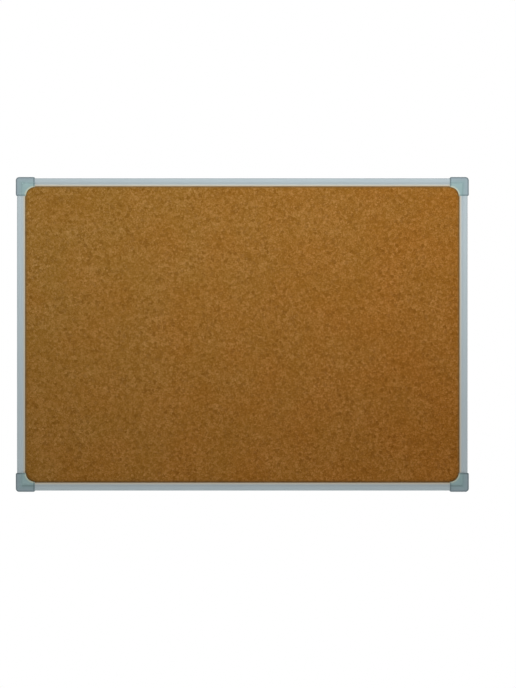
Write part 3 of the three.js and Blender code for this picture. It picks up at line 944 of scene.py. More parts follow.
# %% Softboard
IN_THE_SHEET = (0.3, 1, 0.3)
RAW_FIBRE_WIDTH = 0.0007
RAW_DARK = (140, 112, 76)
RAW_LIGHT = (186, 160, 120)
RAW_SPECK = (112, 86, 56)
SOFTBOARD_BUMP = 0.0001


def softboard_material():
    """Raw fibre with coarse marks and dark specks."""
    material, tree, shader = new_material(
        "softboard_fibre", Roughness=0.95, Specular_IOR_Level=0.15)
    point = here(tree)
    grain = effect(tree, surface_grain, Vector=point, Patch_Size=0.02, Speck_Size=0.0008)
    lying = stretched(tree, point, IN_THE_SHEET)
    fibres = noise(tree, lying, RAW_FIBRE_WIDTH, detail=5.0, roughness=0.8)
    marks = spread(tree, fibres, *NOISE_SPAN)
    surface = blend(tree, marks, colour(*RAW_DARK), colour(*RAW_LIGHT))
    surface = tinted(tree, surface, grain["Specks"], RAW_SPECK, strength=0.3)
    tree.links.new(surface, shader["Base Color"])
    bumped(tree, maths(tree, "ADD", fibres, grain["Specks"]), SOFTBOARD_BUMP, shader["Normal"])
    return material


softboard = softboard_material()
print("material:", softboard.name)

# %% [markdown]
# ## The floor
# The board hangs clear of the floor, which only the turned views see. A curved backdrop is usual in
# a studio, but it would stand in the way of the views from behind. A flat sheet well below the board
# stays out of the front view. Its colour is just short of white, so that it keeps its shadow.

# %% Floor
FLOOR_DROP = 0.56
FLOOR_HALF = 1.5
FLOOR_DARK = (232, 232, 230)
FLOOR_LIGHT = (237, 237, 236)


def floor_material():
    """Pale and matt, with faint wide patches."""
    material, tree, shader = new_material("pale_floor", Roughness=0.75, Specular_IOR_Level=0.2)
    grain = effect(tree, surface_grain, Vector=here(tree), Patch_Size=0.4, Speck_Size=0.004)
    surface = blend(tree, grain["Patches"], colour(*FLOOR_DARK), colour(*FLOOR_LIGHT))
    tree.links.new(surface, shader["Base Color"])
    return material


def floor_sheet():
    """A square under the board's middle."""
    middle = (solid_box[0][1] + solid_box[1][1]) / 2
    height = solid_box[0][2] - FLOOR_DROP
    corners = [(-FLOOR_HALF, -FLOOR_HALF), (FLOOR_HALF, -FLOOR_HALF),
               (FLOOR_HALF, FLOOR_HALF), (-FLOOR_HALF, FLOOR_HALF)]
    mesh = bpy.data.meshes.new("floor")
    mesh.from_pydata([(x, middle + y, height) for x, y in corners], [], [(0, 1, 2, 3)])
    mesh.materials.append(floor_material())
    floor = bpy.data.objects.new("floor", mesh)
    scene.collection.objects.link(floor)
    return floor


print(floor_sheet().name, FLOOR_DROP, "m below the board")

# %% [markdown]
# ## Outlines
# A die rounds every corner of a section, and a mould does the same. The corners could be rounded on
# the finished mesh, all by one width. But the rail has nineteen of them, each with its own radius.
# So an outline is written as corners with their radii, and it is rounded while it is still flat.

# %% Rounded outlines
ARC_STEP = math.radians(12)
STRAIGHT_HALF = math.radians(89.9)
ROUNDING_SLACK = 1e-9


def arc(centre, radius, start, end, step=ARC_STEP):
    """Points round a circle, from one angle to another."""
    count = max(1, math.ceil(abs(end - start) / step - ROUNDING_SLACK))
    return [Vector((centre[0] + radius * math.cos(start + (end - start) * i / count),
                    centre[1] + radius * math.sin(start + (end - start) * i / count)))
            for i in range(count + 1)]


def rounded(corners):
    """A closed outline through (x, y, radius) corners, each rounded to its radius."""
    points = []
    for i, (x, y, radius) in enumerate(corners):
        corner = Vector((x, y))
        before = Vector(corners[i - 1][:2]) - corner
        after = Vector(corners[(i + 1) % len(corners)][:2]) - corner
        half = before.angle(after) / 2
        if radius == 0 or half > STRAIGHT_HALF:
            points.append(corner)
            continue
        reach = radius / math.tan(half)
        halfway = (before.normalized() + after.normalized()).normalized()
        centre = corner + halfway * radius / math.sin(half)
        from_centre = corner + before.normalized() * reach - centre
        to_centre = corner + after.normalized() * reach - centre
        start = math.atan2(from_centre.y, from_centre.x)
        turn = math.remainder(math.atan2(to_centre.y, to_centre.x) - start, 2 * math.pi)
        points += arc(centre, radius, start, start + turn)
    return points


print("a full circle has", len(arc((0, 0), 1, 0, 2 * math.pi)) - 1, "points")

# %% [markdown]
# ## Plain meshes
# Modifiers and node trees stay live in Blender, to be changed later. The motion and the export need
# plain meshes, so each modifier is worked in as soon as it has done its job. Cuts leave doubled
# corners, and seams across faces that are truly flat. Both would show as creases once the edges are
# rounded, so they are cleared away.

# %% Make, apply and clean
MERGE_MM = 0.001
FLAT_ANGLE = math.radians(0.4)


def new_piece(name, mesh):
    """An object for a mesh, in the scene."""
    piece = bpy.data.objects.new(name, mesh)
    scene.collection.objects.link(piece)
    return piece


def applied(piece):
    """Works the piece's modifiers into a plain mesh."""
    graph = bpy.context.evaluated_depsgraph_get()
    graph.update()
    mesh = bpy.data.meshes.new_from_object(
        piece.evaluated_get(graph), preserve_all_data_layers=True, depsgraph=graph)
    piece.modifiers.clear()
    piece.data = mesh
    return piece


def cleaned(piece):
    """Merges doubled corners and clears the seams that cuts leave in flat faces."""
    shell = bmesh.new()
    shell.from_mesh(piece.data)
    bmesh.ops.remove_doubles(shell, verts=shell.verts, dist=MERGE_MM)
    bmesh.ops.dissolve_limit(shell, angle_limit=FLAT_ANGLE, verts=shell.verts, edges=shell.edges,
                             use_dissolve_boundaries=False)
    bmesh.ops.recalc_face_normals(shell, faces=shell.faces)
    shell.to_mesh(piece.data)
    shell.free()
    return piece


print("mesh helpers ready")

# %% [markdown]
# ## Placing the pieces
# Every corner of the board, and the side that runs on from it, is the same shape turned by a
# quarter. Each could be modelled in its own place, four times over. Instead one matrix takes the
# drawing of a side, along, inwards and out from the wall, to its place on the board.


# %% Place a side
def side_matrix(turn):
    """Takes (along, inwards, out from the wall) to the board's own axes, all in millimetres."""
    x = rail_high if turn in (1, 2) else rail_low
    z = top_edge if turn in (2, 3) else bottom_edge
    cosine = round(math.cos(turn * math.pi / 2))
    sine = round(math.sin(turn * math.pi / 2))
    return Matrix(((cosine, -sine, 0, x), (0, 0, -1, 0), (sine, cosine, 0, z), (0, 0, 0, 1)))


def side_length(turn):
    """The length of a side over the rails."""
    return rail_high - rail_low if turn in (0, 2) else top_edge - bottom_edge


print("sides of", [round(side_length(turn), 1) for turn in range(4)], "mm")

# %% [markdown]
# Shading matters as much as shape. Flat shading shows every facet, and smooth shading alone smears
# the flats beside a rounded edge. So a piece is smooth except at its true edges, and the Weighted
# Normal modifier lets the large flats decide. Its mesh keeps the drawing's coordinates as "place",
# for the materials that follow them. Then it is scaled to metres and given to its body.

# %% Shade and hand over
SMOOTH_ANGLE = math.radians(25)


def hand_over(piece, name, matrix, body, material, nodes):
    """Places a finished shape on its body, smooth but for its true edges, in place of its solids."""
    mesh = piece.data
    mesh.name = name
    piece.name = name
    place = mesh.attributes.new("place", "FLOAT_VECTOR", "POINT")
    place.data.foreach_set("vector", [way * MM for vertex in mesh.vertices for way in vertex.co])
    mesh.transform(Matrix.Scale(MM, 4) @ matrix)
    mesh.shade_smooth()
    mesh.set_sharp_from_angle(angle=SMOOTH_ANGLE)
    weighted = piece.modifiers.new("even_flats", "WEIGHTED_NORMAL")
    weighted.keep_sharp = True
    applied(piece)
    piece.data.name = name
    piece.data.materials.clear()
    piece.data.materials.append(material)
    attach(piece, body)
    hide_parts(*nodes)
    triangles = sum(len(face.vertices) - 2 for face in piece.data.polygons)
    print(f"{name}: {triangles} triangles on {body}")
    return piece


print("ready to place pieces")

# %% [markdown]
# ## The rails
# A rail is one section pushed through a die, cut to length and drilled for the cap screws. It has a
# closed chamber, a stepped front with a lip over the cork, a flange behind the panel and a slot at
# the rear for the hangers. Boxes joined side by side could stand for that, but every crease would
# have to be matched by hand. The section is drawn once, with u inwards and v out from the wall.

# %% Heights of the rail's section
LIP_HEIGHT = 1.6
SLOPE_DROP = 1.3
CROWN_DROP = 0.5
PANEL_GAP = 0.2
HANGER_STEEL = 0.9
SLIDE_GAP = 0.25

slot_ceiling = RAIL_WALL + 2 * HANGER_STEEL + 2 * SLIDE_GAP
bead_top = slot_ceiling - HANGER_STEEL - 2 * SLIDE_GAP
flange_top = slot_ceiling + RAIL_WALL
lip_underside = cork_front + PANEL_GAP
lip_top = lip_underside + LIP_HEIGHT
crease_top = crest - CROWN_DROP


def front_at(u):
    """The height of the rail's front at the slope, which runs down to a flat land at the lip."""
    share = (u - outer_band) / SLOPE_WIDTH
    return crease_top - SLOPE_DROP * min(1.0, max(0.0, share))


chamber_ceiling = front_at(web_outer) - RAIL_WALL
print(f"slot {slot_ceiling:.1f} mm deep, lip at {lip_top:.1f} mm and crease at {crease_top:.1f} mm")

# %% [markdown]
# The crown is so low that a straight line would nearly do. But light slides over it, and a real die
# leaves it curved, so it is drawn as a curve that meets the slope in a crease and ends level. Every
# other corner is written down with the radius that a die leaves there.

# %% The section's outlines
RAIL_EDGE_RADIUS = 1.3
FLANGE_REACH = 4.8
REAR_LIP_WIDTH = 4.6
BEAD_WIDTH = 1.1
CHAMBER_ROUND = 0.3

lip_outer = rail_face - RAIL_WALL
flange_edge = web_inner + FLANGE_REACH
bead_outer = REAR_LIP_WIDTH - BEAD_WIDTH


def crown(end, low, high, steps=6):
    """A low curve that rises from the slope's head, (outer_band, low), and is level at (end, high)."""
    points = []
    for share in [i / steps for i in range(steps + 1)]:
        across = outer_band + (end - outer_band) * share
        points.append((across, low + (high - low) * (1 - (1 - share) ** 2)))
    return points


def rail_outline():
    """The outer outline: crowned front, stepped lip, panel flange and rear hanger slot."""
    corners = [
        (0, 0, 0.35), (REAR_LIP_WIDTH, 0, 0.3), (REAR_LIP_WIDTH, bead_top, 0.3),
        (bead_outer, bead_top, 0.25), (bead_outer, RAIL_WALL, 0.15), (RAIL_WALL, RAIL_WALL, 0.2),
        (RAIL_WALL, slot_ceiling, 0.2), (flange_edge, slot_ceiling, 0.3), (flange_edge, flange_top, 0.3),
        (web_inner, flange_top, 0.15), (web_inner, front_at(web_inner) - RAIL_WALL, 0.1),
        (land_start, lip_top - RAIL_WALL, 0.1), (lip_outer, lip_top - RAIL_WALL, 0.1),
        (lip_outer, lip_underside, 0.1), (rail_face, lip_underside, 0.25),
        (rail_face, lip_top, 0.5), (land_start, lip_top, 0.7), (outer_band, crease_top, 0.7),
    ]
    corners += [(u, v, 0) for u, v in crown(RAIL_EDGE_RADIUS, crease_top, crest)[1:-1]]
    corners.append((0, crest, RAIL_EDGE_RADIUS))
    return rounded(corners)


def chamber_outline():
    """The closed chamber that the caps plug into."""
    ends = [(RAIL_WALL, flange_top), (web_outer, flange_top),
            (web_outer, chamber_ceiling), (RAIL_WALL, chamber_ceiling)]
    return rounded([(u, v, CHAMBER_ROUND) for u, v in ends])


print("rail outline:", len(rail_outline()), "points, chamber:", len(chamber_outline()))

# %% [markdown]
# Cutting to length and drilling follow the same rule on every rail. A script could push the section
# out and cut it each time. A Geometry Nodes tree states the rule once, with the length and the holes
# as inputs that can be changed in Blender and seen at once. First it fills the outlines, stands them
# up and pushes them to the length, with both ends closed.


# %% The rail tree: push the section through
def standing_section(tree, given):
    """Fills the outlines and stands them up at the rail's start."""
    curve = put(tree, "GeometryNodeMeshToCurve", {0: given["Outlines"]})
    fill = put(tree, "GeometryNodeFillCurve", {"Curve": curve.outputs[0]})
    drawn = put(tree, "GeometryNodeInputPosition")
    parts = put(tree, "ShaderNodeSeparateXYZ", {0: drawn.outputs[0]})
    turned = put(tree, "ShaderNodeCombineXYZ",
                 {"X": given["Start"], "Y": parts.outputs["X"], "Z": parts.outputs["Y"]})
    section = put(tree, "GeometryNodeSetPosition",
                  {"Geometry": fill.outputs[0], "Position": turned.outputs[0]})
    return section.outputs[0]


def pushed_through(tree, given, section):
    """Stretches the section to the rail's length and closes both ends."""
    run = put(tree, "ShaderNodeCombineXYZ", {"X": given["Length"]})
    pushed = put(tree, "GeometryNodeExtrudeMesh",
                 {"Mesh": section, "Offset": run.outputs[0], "Offset Scale": 1.0,
                  "Individual": False})
    base = put(tree, "GeometryNodeFlipFaces", {"Mesh": section})
    both = put(tree, "GeometryNodeJoinGeometry")
    for made in (base.outputs[0], pushed.outputs["Mesh"]):
        tree.links.new(made, both.inputs[0])
    closed = put(tree, "GeometryNodeMergeByDistance",
                 {"Geometry": both.outputs[0], "Distance": MERGE_MM})
    return closed.outputs[0]


print("nodes for pushing ready")

# %% [markdown]
# Then the tree drills. Each screw goes in through a wide access hole in the rear lip, and its shank
# passes a narrow hole in the chamber's wall. The holes could be left out and the screws pushed into
# the metal, which looks the same from the front. But from behind the gap round each head shows.

# %% The rail tree: drill it
OVERRUN = 2.0
DRILL_SIDES = 32


def drilled(tree, given, body):
    """Cuts both screw places: a wide access hole from the rear, and a narrow one past it."""
    first = maths(tree, "ADD", given["Start"], given["Hole Inset"])
    end = maths(tree, "ADD", given["Start"], given["Length"])
    last = maths(tree, "SUBTRACT", end, given["Hole Inset"])
    for radius, depth in (("Access Radius", "Access Depth"), ("Hole Radius", "Hole Depth")):
        tall = maths(tree, "ADD", given[depth], OVERRUN)
        middle = maths(tree, "DIVIDE", maths(tree, "SUBTRACT", given[depth], OVERRUN), 2.0)
        ends = [put(tree, "ShaderNodeCombineXYZ",
                    {"X": x, "Y": given["Hole Across"], "Z": middle}).outputs[0] for x in (first, last)]
        line = put(tree, "GeometryNodeMeshLine",
                   {"Count": 2, "Start Location": ends[0], "Offset": ends[1]}, mode="END_POINTS")
        drill = put(tree, "GeometryNodeMeshCylinder",
                    {"Vertices": DRILL_SIDES, "Radius": given[radius], "Depth": tall})
        drills = put(tree, "GeometryNodeInstanceOnPoints",
                     {"Points": line.outputs[0], "Instance": drill.outputs[0]})
        real = put(tree, "GeometryNodeRealizeInstances", {0: drills.outputs[0]})
        cut = put(tree, "GeometryNodeMeshBoolean",
                  {"Mesh 1": body, "Mesh 2": real.outputs[0]}, operation="DIFFERENCE", solver="EXACT")
        body = cut.outputs[0]
    return body


print("nodes for drilling ready")

# %% [markdown]
# A tree has to end in plain mesh with a material, because the export drops copies that aren't real.
# Each tree could end in its own way, but all three on this board end alike, so one function does it.
# The rail's inputs are named for what a maker would change, and start as a half metre rail's.


# %% The whole rail tree
def give_out(tree, given, out, shape):
    """Ends a tree: turns any copies into plain mesh, sets the material and gives the shape out."""
    whole = put(tree, "GeometryNodeRealizeInstances", {0: shape})
    painted = put(tree, "GeometryNodeSetMaterial",
                  {"Geometry": whole.outputs[0], "Material": given["Material"]})
    tree.links.new(painted.outputs[0], out[0])
    return tree


def rail_tree():
    """The whole rule for a rail, in millimetres."""
    tree, given, out = new_group(
        "extruded_rail", "GeometryNodeTree",
        [("Outlines", "NodeSocketGeometry", None), ("Start", "NodeSocketFloat", 12.0),
         ("Length", "NodeSocketFloat", 500.0), ("Hole Inset", "NodeSocketFloat", 20.0),
         ("Hole Across", "NodeSocketFloat", 3.35), ("Access Radius", "NodeSocketFloat", 2.4),
         ("Hole Radius", "NodeSocketFloat", 1.3), ("Access Depth", "NodeSocketFloat", 3.4),
         ("Hole Depth", "NodeSocketFloat", 4.8), ("Material", "NodeSocketMaterial", None)],
        [("Rail", "NodeSocketGeometry")],
    )
    body = pushed_through(tree, given, standing_section(tree, given))
    return give_out(tree, given, out, drilled(tree, given, body))


extruded_rail = rail_tree()
print("geometry tree:", extruded_rail.name, "with", len(extruded_rail.nodes), "nodes")

# %% [markdown]
# A tree is run by hanging it on an object, giving it its values, and working the result in. In the
# modifier its inputs go by identifiers that Blender makes up, so they are looked up by name here
# rather than counted. The rail's tree also needs its outlines, as a mesh that has only edges.


# %% Feed a tree and work it in
def outline_mesh(loops):
    """Closed outlines as a mesh of edges, for the tree to fill."""
    points = [(point[0], point[1], 0) for loop in loops for point in loop]
    edges = []
    first = 0
    for loop in loops:
        edges += [(first + i, first + (i + 1) % len(loop)) for i in range(len(loop))]
        first += len(loop)
    mesh = bpy.data.meshes.new("outlines")
    mesh.from_pydata(points, edges, [])
    return mesh


def run_tree(piece, tree, **values):
    """Adds the tree to a piece, sets its inputs by their identifiers, and works it in."""
    step = piece.modifiers.new(tree.name, "NODES")
    step.node_group = tree
    for item in tree.interface.items_tree:
        key = item.name.replace(" ", "_")
        if item.in_out == "INPUT" and key in values:
            step[item.identifier] = values[key]
    return applied(piece)


print("ready to run trees")

# %% [markdown]
# The four rails differ only in length. One rail could be made and stretched by scaling, but that
# would pull its holes out of round. Running the tree four times keeps section and holes true. Each
# rail starts past the cap's block and stops short of the next one, and its holes meet the caps'
# spigots.

# %% Make the four rails
SIDES = ("bottom", "right", "top", "left")
BUTT_GAP = 0.3
SCREW_SETBACK = 8.0
SHANK_RADIUS = 1.1
HEAD_RADIUS = 2.0
HOLE_GAP = 0.2
HEAD_ACCESS_GAP = 0.45

rail_start = flange_edge + PANEL_GAP + BUTT_GAP
screw_along = arm_end + SCREW_SETBACK
screw_across = RAIL_WALL + CHAMBER_WIDTH / 2

for turn, side in enumerate(SIDES):
    rail = new_piece("rail", outline_mesh([rail_outline(), chamber_outline()]))
    run_tree(rail, extruded_rail, Start=rail_start, Length=side_length(turn) - 2 * rail_start,
             Hole_Inset=screw_along - rail_start, Hole_Across=screw_across,
             Access_Radius=HEAD_RADIUS + HEAD_ACCESS_GAP, Hole_Radius=SHANK_RADIUS + HOLE_GAP,
             Access_Depth=slot_ceiling, Hole_Depth=flange_top + HOLE_GAP, Material=aluminium)
    cleaned(rail)
    hand_over(rail, f"{side}_rail", side_matrix(turn), "board", aluminium,
              [f"rail_{side}"])

# %% [markdown]
# ## Solids
# A cap and a hanger have too many faces that must meet exactly to be pulled into shape by hand, and
# pulled faces don't stay flat. They are built as their tools are cut: an outline is stretched into a
# closed solid, along the side, inwards or out from the wall, and such solids are joined and cut.

# %% Stretch an outline into a solid
STRETCH_ALONG = Matrix(((0, 0, 1, 0), (1, 0, 0, 0), (0, 1, 0, 0), (0, 0, 0, 1)))
STRETCH_ACROSS = Matrix(((1, 0, 0, 0), (0, 0, -1, 0), (0, 1, 0, 0), (0, 0, 0, 1)))


def prism(loops, low, high, axes=Matrix()):
    """A closed solid over an outline and its holes, from one height to another, then turned by axes."""
    shell = bmesh.new()
    rings = []
    for z in (low, high):
        rings.append([[shell.verts.new((point[0], point[1], z)) for point in loop] for loop in loops])
    for below, above in zip(*rings):
        for i in range(len(below)):
            j = (i + 1) % len(below)
            shell.faces.new((below[i], below[j], above[j], above[i]))
    for ring in rings:
        if len(loops) == 1:
            shell.faces.new(ring[0])
            continue
        flat = [vertex for loop in ring for vertex in loop]
        corners = [[Vector((point[0], point[1], 0)) for point in loop] for loop in loops]
        for triangle in tessellate_polygon(corners):
            shell.faces.new([flat[i] for i in triangle])
    bmesh.ops.transform(shell, matrix=axes, verts=shell.verts)
    bmesh.ops.recalc_face_normals(shell, faces=shell.faces)
    mesh = bpy.data.meshes.new("solid")
    shell.to_mesh(mesh)
    shell.free()
    return new_piece("solid", mesh)


def run_along(section, start, end):
    """A section stretched along the side, with its x inwards and its y out from the wall."""
    return prism([section], start, end, STRETCH_ALONG)


def run_across(section, start, end):
    """A section stretched inwards, with its x along the side and its y out from the wall."""
    return prism([section], -end, -start, STRETCH_ACROSS)


def block(low, high):
    """A box between two corners."""
    outline = [(low[0], low[1]), (high[0], low[1]), (high[0], high[1]), (low[0], high[1])]
    return prism([outline], low[2], high[2])


def rod(radius, x, y, low, high):
    """A round rod that stands out from the wall."""
    return prism([arc((x, y), radius, 0, 2 * math.pi)[:-1]], low, high)


print("solid helpers ready")

# %% [markdown]
# No real edge is a mathematical line: a moulded or stamped edge catches a thin highlight. Edges could
# be rounded in the shader, but then the outline and the exported mesh stay sharp. So the finished
# solid gets a small true rounding, after its cuts, with the Bevel modifier.

# %% Join, cut and ease
EASE_ANGLE = math.radians(26)


def combine(body, tool, operation):
    """Cuts the body by the tool, joins them, or keeps what they share. The tool is used up."""
    step = body.modifiers.new(operation.lower(), "BOOLEAN")
    step.operation = operation
    step.solver = "EXACT"
    step.object = tool
    applied(body)
    bpy.data.objects.remove(tool)
    return body


def eased(piece, width, angle=EASE_ANGLE, segments=3):
    """Rounds every edge sharper than the angle."""
    bevel = piece.modifiers.new("eased_edges", "BEVEL")
    bevel.width = width
    bevel.segments = segments
    bevel.limit_method = "ANGLE"
    bevel.angle_limit = angle
    bevel.miter_outer = "MITER_ARC"
    bevel.use_clamp_overlap = True
    return applied(piece)


print("tools ready to join, cut and ease")

# %% [markdown]
# ## The corner caps
# A cap is one moulding: a block in the corner, two arms that wrap the rails, a web over the cork's
# corner and two spigots that plug into the rails' chambers. Seen from the front it is a rounded
# square with a bite taken out of it. That outline, raised to the cap's height and rounded at its
# front rim, is the envelope. Where it meets a second solid, which has the frame's crown, slope and
# land running both ways, the front gets its mitred look without a mitre being modelled.

# %% The cap's envelope and front
CAP_FRONT_WALL = 1.0
CAP_CROWN_DROP = 0.35
CAP_END_RADIUS = 1.6
CAP_EDGE_ROUND = 1.2
CAP_CREASE_ROUND = 0.9
FINE_STEP = ARC_STEP / 2

cap_crease = cap_top - CAP_CROWN_DROP
cap_land = lip_top + FIT_GAP + CAP_FRONT_WALL
past_arm = arm_end + OVERRUN


def cap_outline():
    """The cap seen from the front: its corner, its two arm ends and its curved inner edge."""
    return (
        arc((-cap_proud + CAP_CORNER_RADIUS,) * 2, CAP_CORNER_RADIUS, math.pi, 1.5 * math.pi, FINE_STEP)
        + arc((arm_end - CAP_END_RADIUS, -cap_proud + CAP_END_RADIUS), CAP_END_RADIUS,
              -math.pi / 2, 0)
        + arc((arm_end, arm_end), arm_end - cap_inner, -math.pi / 2, -math.pi, FINE_STEP)
        + arc((-cap_proud + CAP_END_RADIUS, arm_end - CAP_END_RADIUS), CAP_END_RADIUS,
              math.pi / 2, math.pi)
    )


def cap_envelope():
    """The outline raised to the cap's front, with the front rim rounded."""
    body = prism([cap_outline()], 0, cap_top)
    shell = bmesh.new()
    shell.from_mesh(body.data)
    rim = [edge for edge in shell.edges
           if all(vertex.co.z > cap_top - MERGE_MM for vertex in edge.verts)]
    bmesh.ops.bevel(shell, geom=rim, offset=CAP_EDGE_ROUND, segments=5, profile=0.5, affect="EDGES")
    shell.to_mesh(body.data)
    shell.free()
    return body


def cap_front():
    """Everything under the cap's front, which follows the rail's: crown, slope and land."""
    low = -cap_proud - OVERRUN
    rim = CAP_EDGE_ROUND - cap_proud
    corners = [(low, -OVERRUN, 0), (past_arm, -OVERRUN, 0), (past_arm, cap_land, 0),
               (land_start, cap_land, CAP_CREASE_ROUND), (outer_band, cap_crease, CAP_CREASE_ROUND)]
    corners += [(u, v, 0) for u, v in crown(rim, cap_crease, cap_top)[1:]]
    section = rounded(corners + [(low, cap_top, 0)])
    return combine(run_along(section, low, past_arm), run_across(section, low, past_arm), "UNION")


print("cap outline:", len(cap_outline()), "points")

# %% [markdown]
# Under its front the cap is hollow, so that it slips over both rails and the panel's corner with a
# small gap all round. The cap could be left solid, as its inside never shows. But then it would sit
# in the same space as the rails, and a moulding that thick would sink and warp as it cooled.

# %% Hollows for the rails and the panel
block_edge = rail_start - BUTT_GAP


def cap_hollows():
    """The room for the two rails, for the flanges behind the panel, and for the panel itself."""
    inner = rail_face + FIT_GAP
    hollow = [(-FIT_GAP, -OVERRUN), (inner, -OVERRUN), (inner, lip_top + FIT_GAP),
              (land_start + FIT_GAP, lip_top + FIT_GAP), (outer_band, crease_top + 2 * FIT_GAP),
              ((outer_band + RAIL_EDGE_RADIUS) / 2, crest + FIT_GAP), (-FIT_GAP, crest + FIT_GAP)]
    return (
        run_along(hollow, block_edge, past_arm),
        run_across(hollow, block_edge, past_arm),
        block((block_edge, -FIT_GAP, -OVERRUN), (past_arm, past_arm, lip_underside)),
        block((-FIT_GAP, block_edge, -OVERRUN), (past_arm, past_arm, lip_underside)),
        block((web_inner, web_inner, flange_top), (past_arm, past_arm, lip_underside)),
    )


print(f"the cap's block is {block_edge:.1f} mm deep, and its arms are hollow from there")

# %% [markdown]
# Two spigots fill the rails' chambers and take the screws. Their tips are chamfered, so that they
# find their way in. A plug with a square tip would look the same once it is fitted, but the spigot is
# what really holds the corner, and a part that is taken to pieces shows it.

# %% Spigots
SPIGOT_GAP = 0.25
SPIGOT_PAST_SCREW = 6.6
SPIGOT_CHAMFER = 0.8
SPIGOT_ROUND = 0.4


def cap_spigots():
    """The two plugs, one for each rail."""
    tip = screw_along + SPIGOT_PAST_SCREW
    root = block_edge - SPIGOT_CHAMFER
    top = chamber_ceiling - SPIGOT_GAP
    ends = [(RAIL_WALL + SPIGOT_GAP, flange_top + SPIGOT_GAP),
            (web_outer - SPIGOT_GAP, flange_top + SPIGOT_GAP),
            (web_outer - SPIGOT_GAP, top), (RAIL_WALL + SPIGOT_GAP, top)]
    spigot = rounded([(u, v, SPIGOT_ROUND) for u, v in ends])
    wedge = [(tip - SPIGOT_CHAMFER, top + OVERRUN), (tip - SPIGOT_CHAMFER, top),
             (tip, top - SPIGOT_CHAMFER), (tip + OVERRUN, top - SPIGOT_CHAMFER),
             (tip + OVERRUN, top + OVERRUN)]
    return (
        combine(run_along(spigot, root, tip), run_across(wedge, 0, web_inner), "DIFFERENCE"),
        combine(run_across(spigot, root, tip), run_along(wedge, 0, web_inner), "DIFFERENCE"),
    )


print(f"spigots end {screw_along + SPIGOT_PAST_SCREW:.1f} mm from the frame's corner")

# %% [markdown]
# Now the cap is put together in the order in which a toolmaker would cut it: the front, the hollows,
# the spigots, the pilot holes for the screws and a pocket that cores out the thick corner. Four caps
# could be built in their places. But they come from one mould, so one is built, and a copy of its
# mesh is turned into each corner.

# %% Make the four caps
CORNERS = ("bottom_left", "bottom_right", "top_right", "top_left")
SCREW_LENGTH = 9.0
CORE_POCKET_DEPTH = 11.0
CAP_EASE = 0.22


def corner_cap():
    """One cap, drawn for the bottom left corner."""
    body = combine(cap_envelope(), cap_front(), "INTERSECT")
    for cut in cap_hollows():
        combine(body, cut, "DIFFERENCE")
    for plug in cap_spigots():
        combine(body, plug, "UNION")
    pilot_end = slot_ceiling - FIT_GAP + SCREW_LENGTH + HOLE_GAP
    for x, y in ((screw_along, screw_across), (screw_across, screw_along)):
        combine(body, rod(SHANK_RADIUS + HOLE_GAP, x, y, 0, pilot_end), "DIFFERENCE")
    pocket = block((0, 0, -OVERRUN), (web_outer, web_outer, CORE_POCKET_DEPTH))
    combine(body, pocket, "DIFFERENCE")
    return eased(cleaned(body), CAP_EASE)


cap_shape = corner_cap()
for turn, corner in enumerate(CORNERS):
    cap = new_piece("cap", cap_shape.data.copy())
    hand_over(cap, f"{corner}_cap", side_matrix(turn), "board", cap_plastic,
              [f"cap_{corner}"])
bpy.data.objects.remove(cap_shape)

# %% [markdown]
# ## The cap screws
# Eight small pan-head screws hold the caps. A screw could be a cylinder under a squashed ball, but a
# real one is turned on a lathe. So its profile is drawn as a line and spun round its axis, and the
# cross recess is then cut into the head. The thread is left off, because it is buried in the spigot.
# The rim and the recess's depth are shares of the head's height, and its reach and half its width
# are shares of the head's radius.

# %% One screw
HEAD_HEIGHT = 1.4
RIM_SHARE = 0.4
UNDERCUT = 0.15
DOME_STEPS = 6
SPIN_STEPS = 28
RECESS_REACH = 0.6
RECESS_HALF_WIDTH = 0.17
RECESS_DEPTH = 0.45


def screw_profile():
    """Half the screw's outline, as (distance from the axis, height) from the dome to the tip."""
    rim = HEAD_HEIGHT * RIM_SHARE
    dome = HEAD_HEIGHT - rim
    angles = [math.pi / 2 * i / DOME_STEPS for i in range(DOME_STEPS + 1)]
    points = [(HEAD_RADIUS * math.sin(angle), -rim - dome * math.cos(angle)) for angle in angles]
    return points + [(HEAD_RADIUS - UNDERCUT, 0), (SHANK_RADIUS, 0),
                     (SHANK_RADIUS, SCREW_LENGTH - SHANK_RADIUS), (0, SCREW_LENGTH)]


def turned_screw():
    """The profile spun into a screw, with its cross recess."""
    shell = bmesh.new()
    chain = [shell.verts.new((radius, 0, height)) for radius, height in screw_profile()]
    lines = [shell.edges.new(pair) for pair in zip(chain, chain[1:])]
    bmesh.ops.spin(shell, geom=chain + lines, axis=(0, 0, 1), cent=(0, 0, 0),
                   angle=2 * math.pi, steps=SPIN_STEPS, use_merge=True)
    bmesh.ops.remove_doubles(shell, verts=shell.verts, dist=MERGE_MM)
    bmesh.ops.recalc_face_normals(shell, faces=shell.faces)
    mesh = bpy.data.meshes.new("screw")
    shell.to_mesh(mesh)
    shell.free()
    screw = new_piece("screw", mesh)
    reach = HEAD_RADIUS * RECESS_REACH
    half = HEAD_RADIUS * RECESS_HALF_WIDTH
    recess_floor = -HEAD_HEIGHT * RECESS_DEPTH
    for x, y in ((reach, half), (half, reach)):
        combine(screw, block((-x, -y, -HEAD_HEIGHT - OVERRUN), (x, y, recess_floor)), "DIFFERENCE")
    return cleaned(screw)


screw_shape = turned_screw()
print("screw:", len(screw_shape.data.polygons), "faces")

# %% [markdown]
# The other seven screws are copies of this one. They could be placed one by one, but a tree that
# sets a copy on every point of a mesh needs only the eight points. It turns each copy by its own
# random amount, as a driver leaves them, and realizes the copies so that they are one plain mesh.


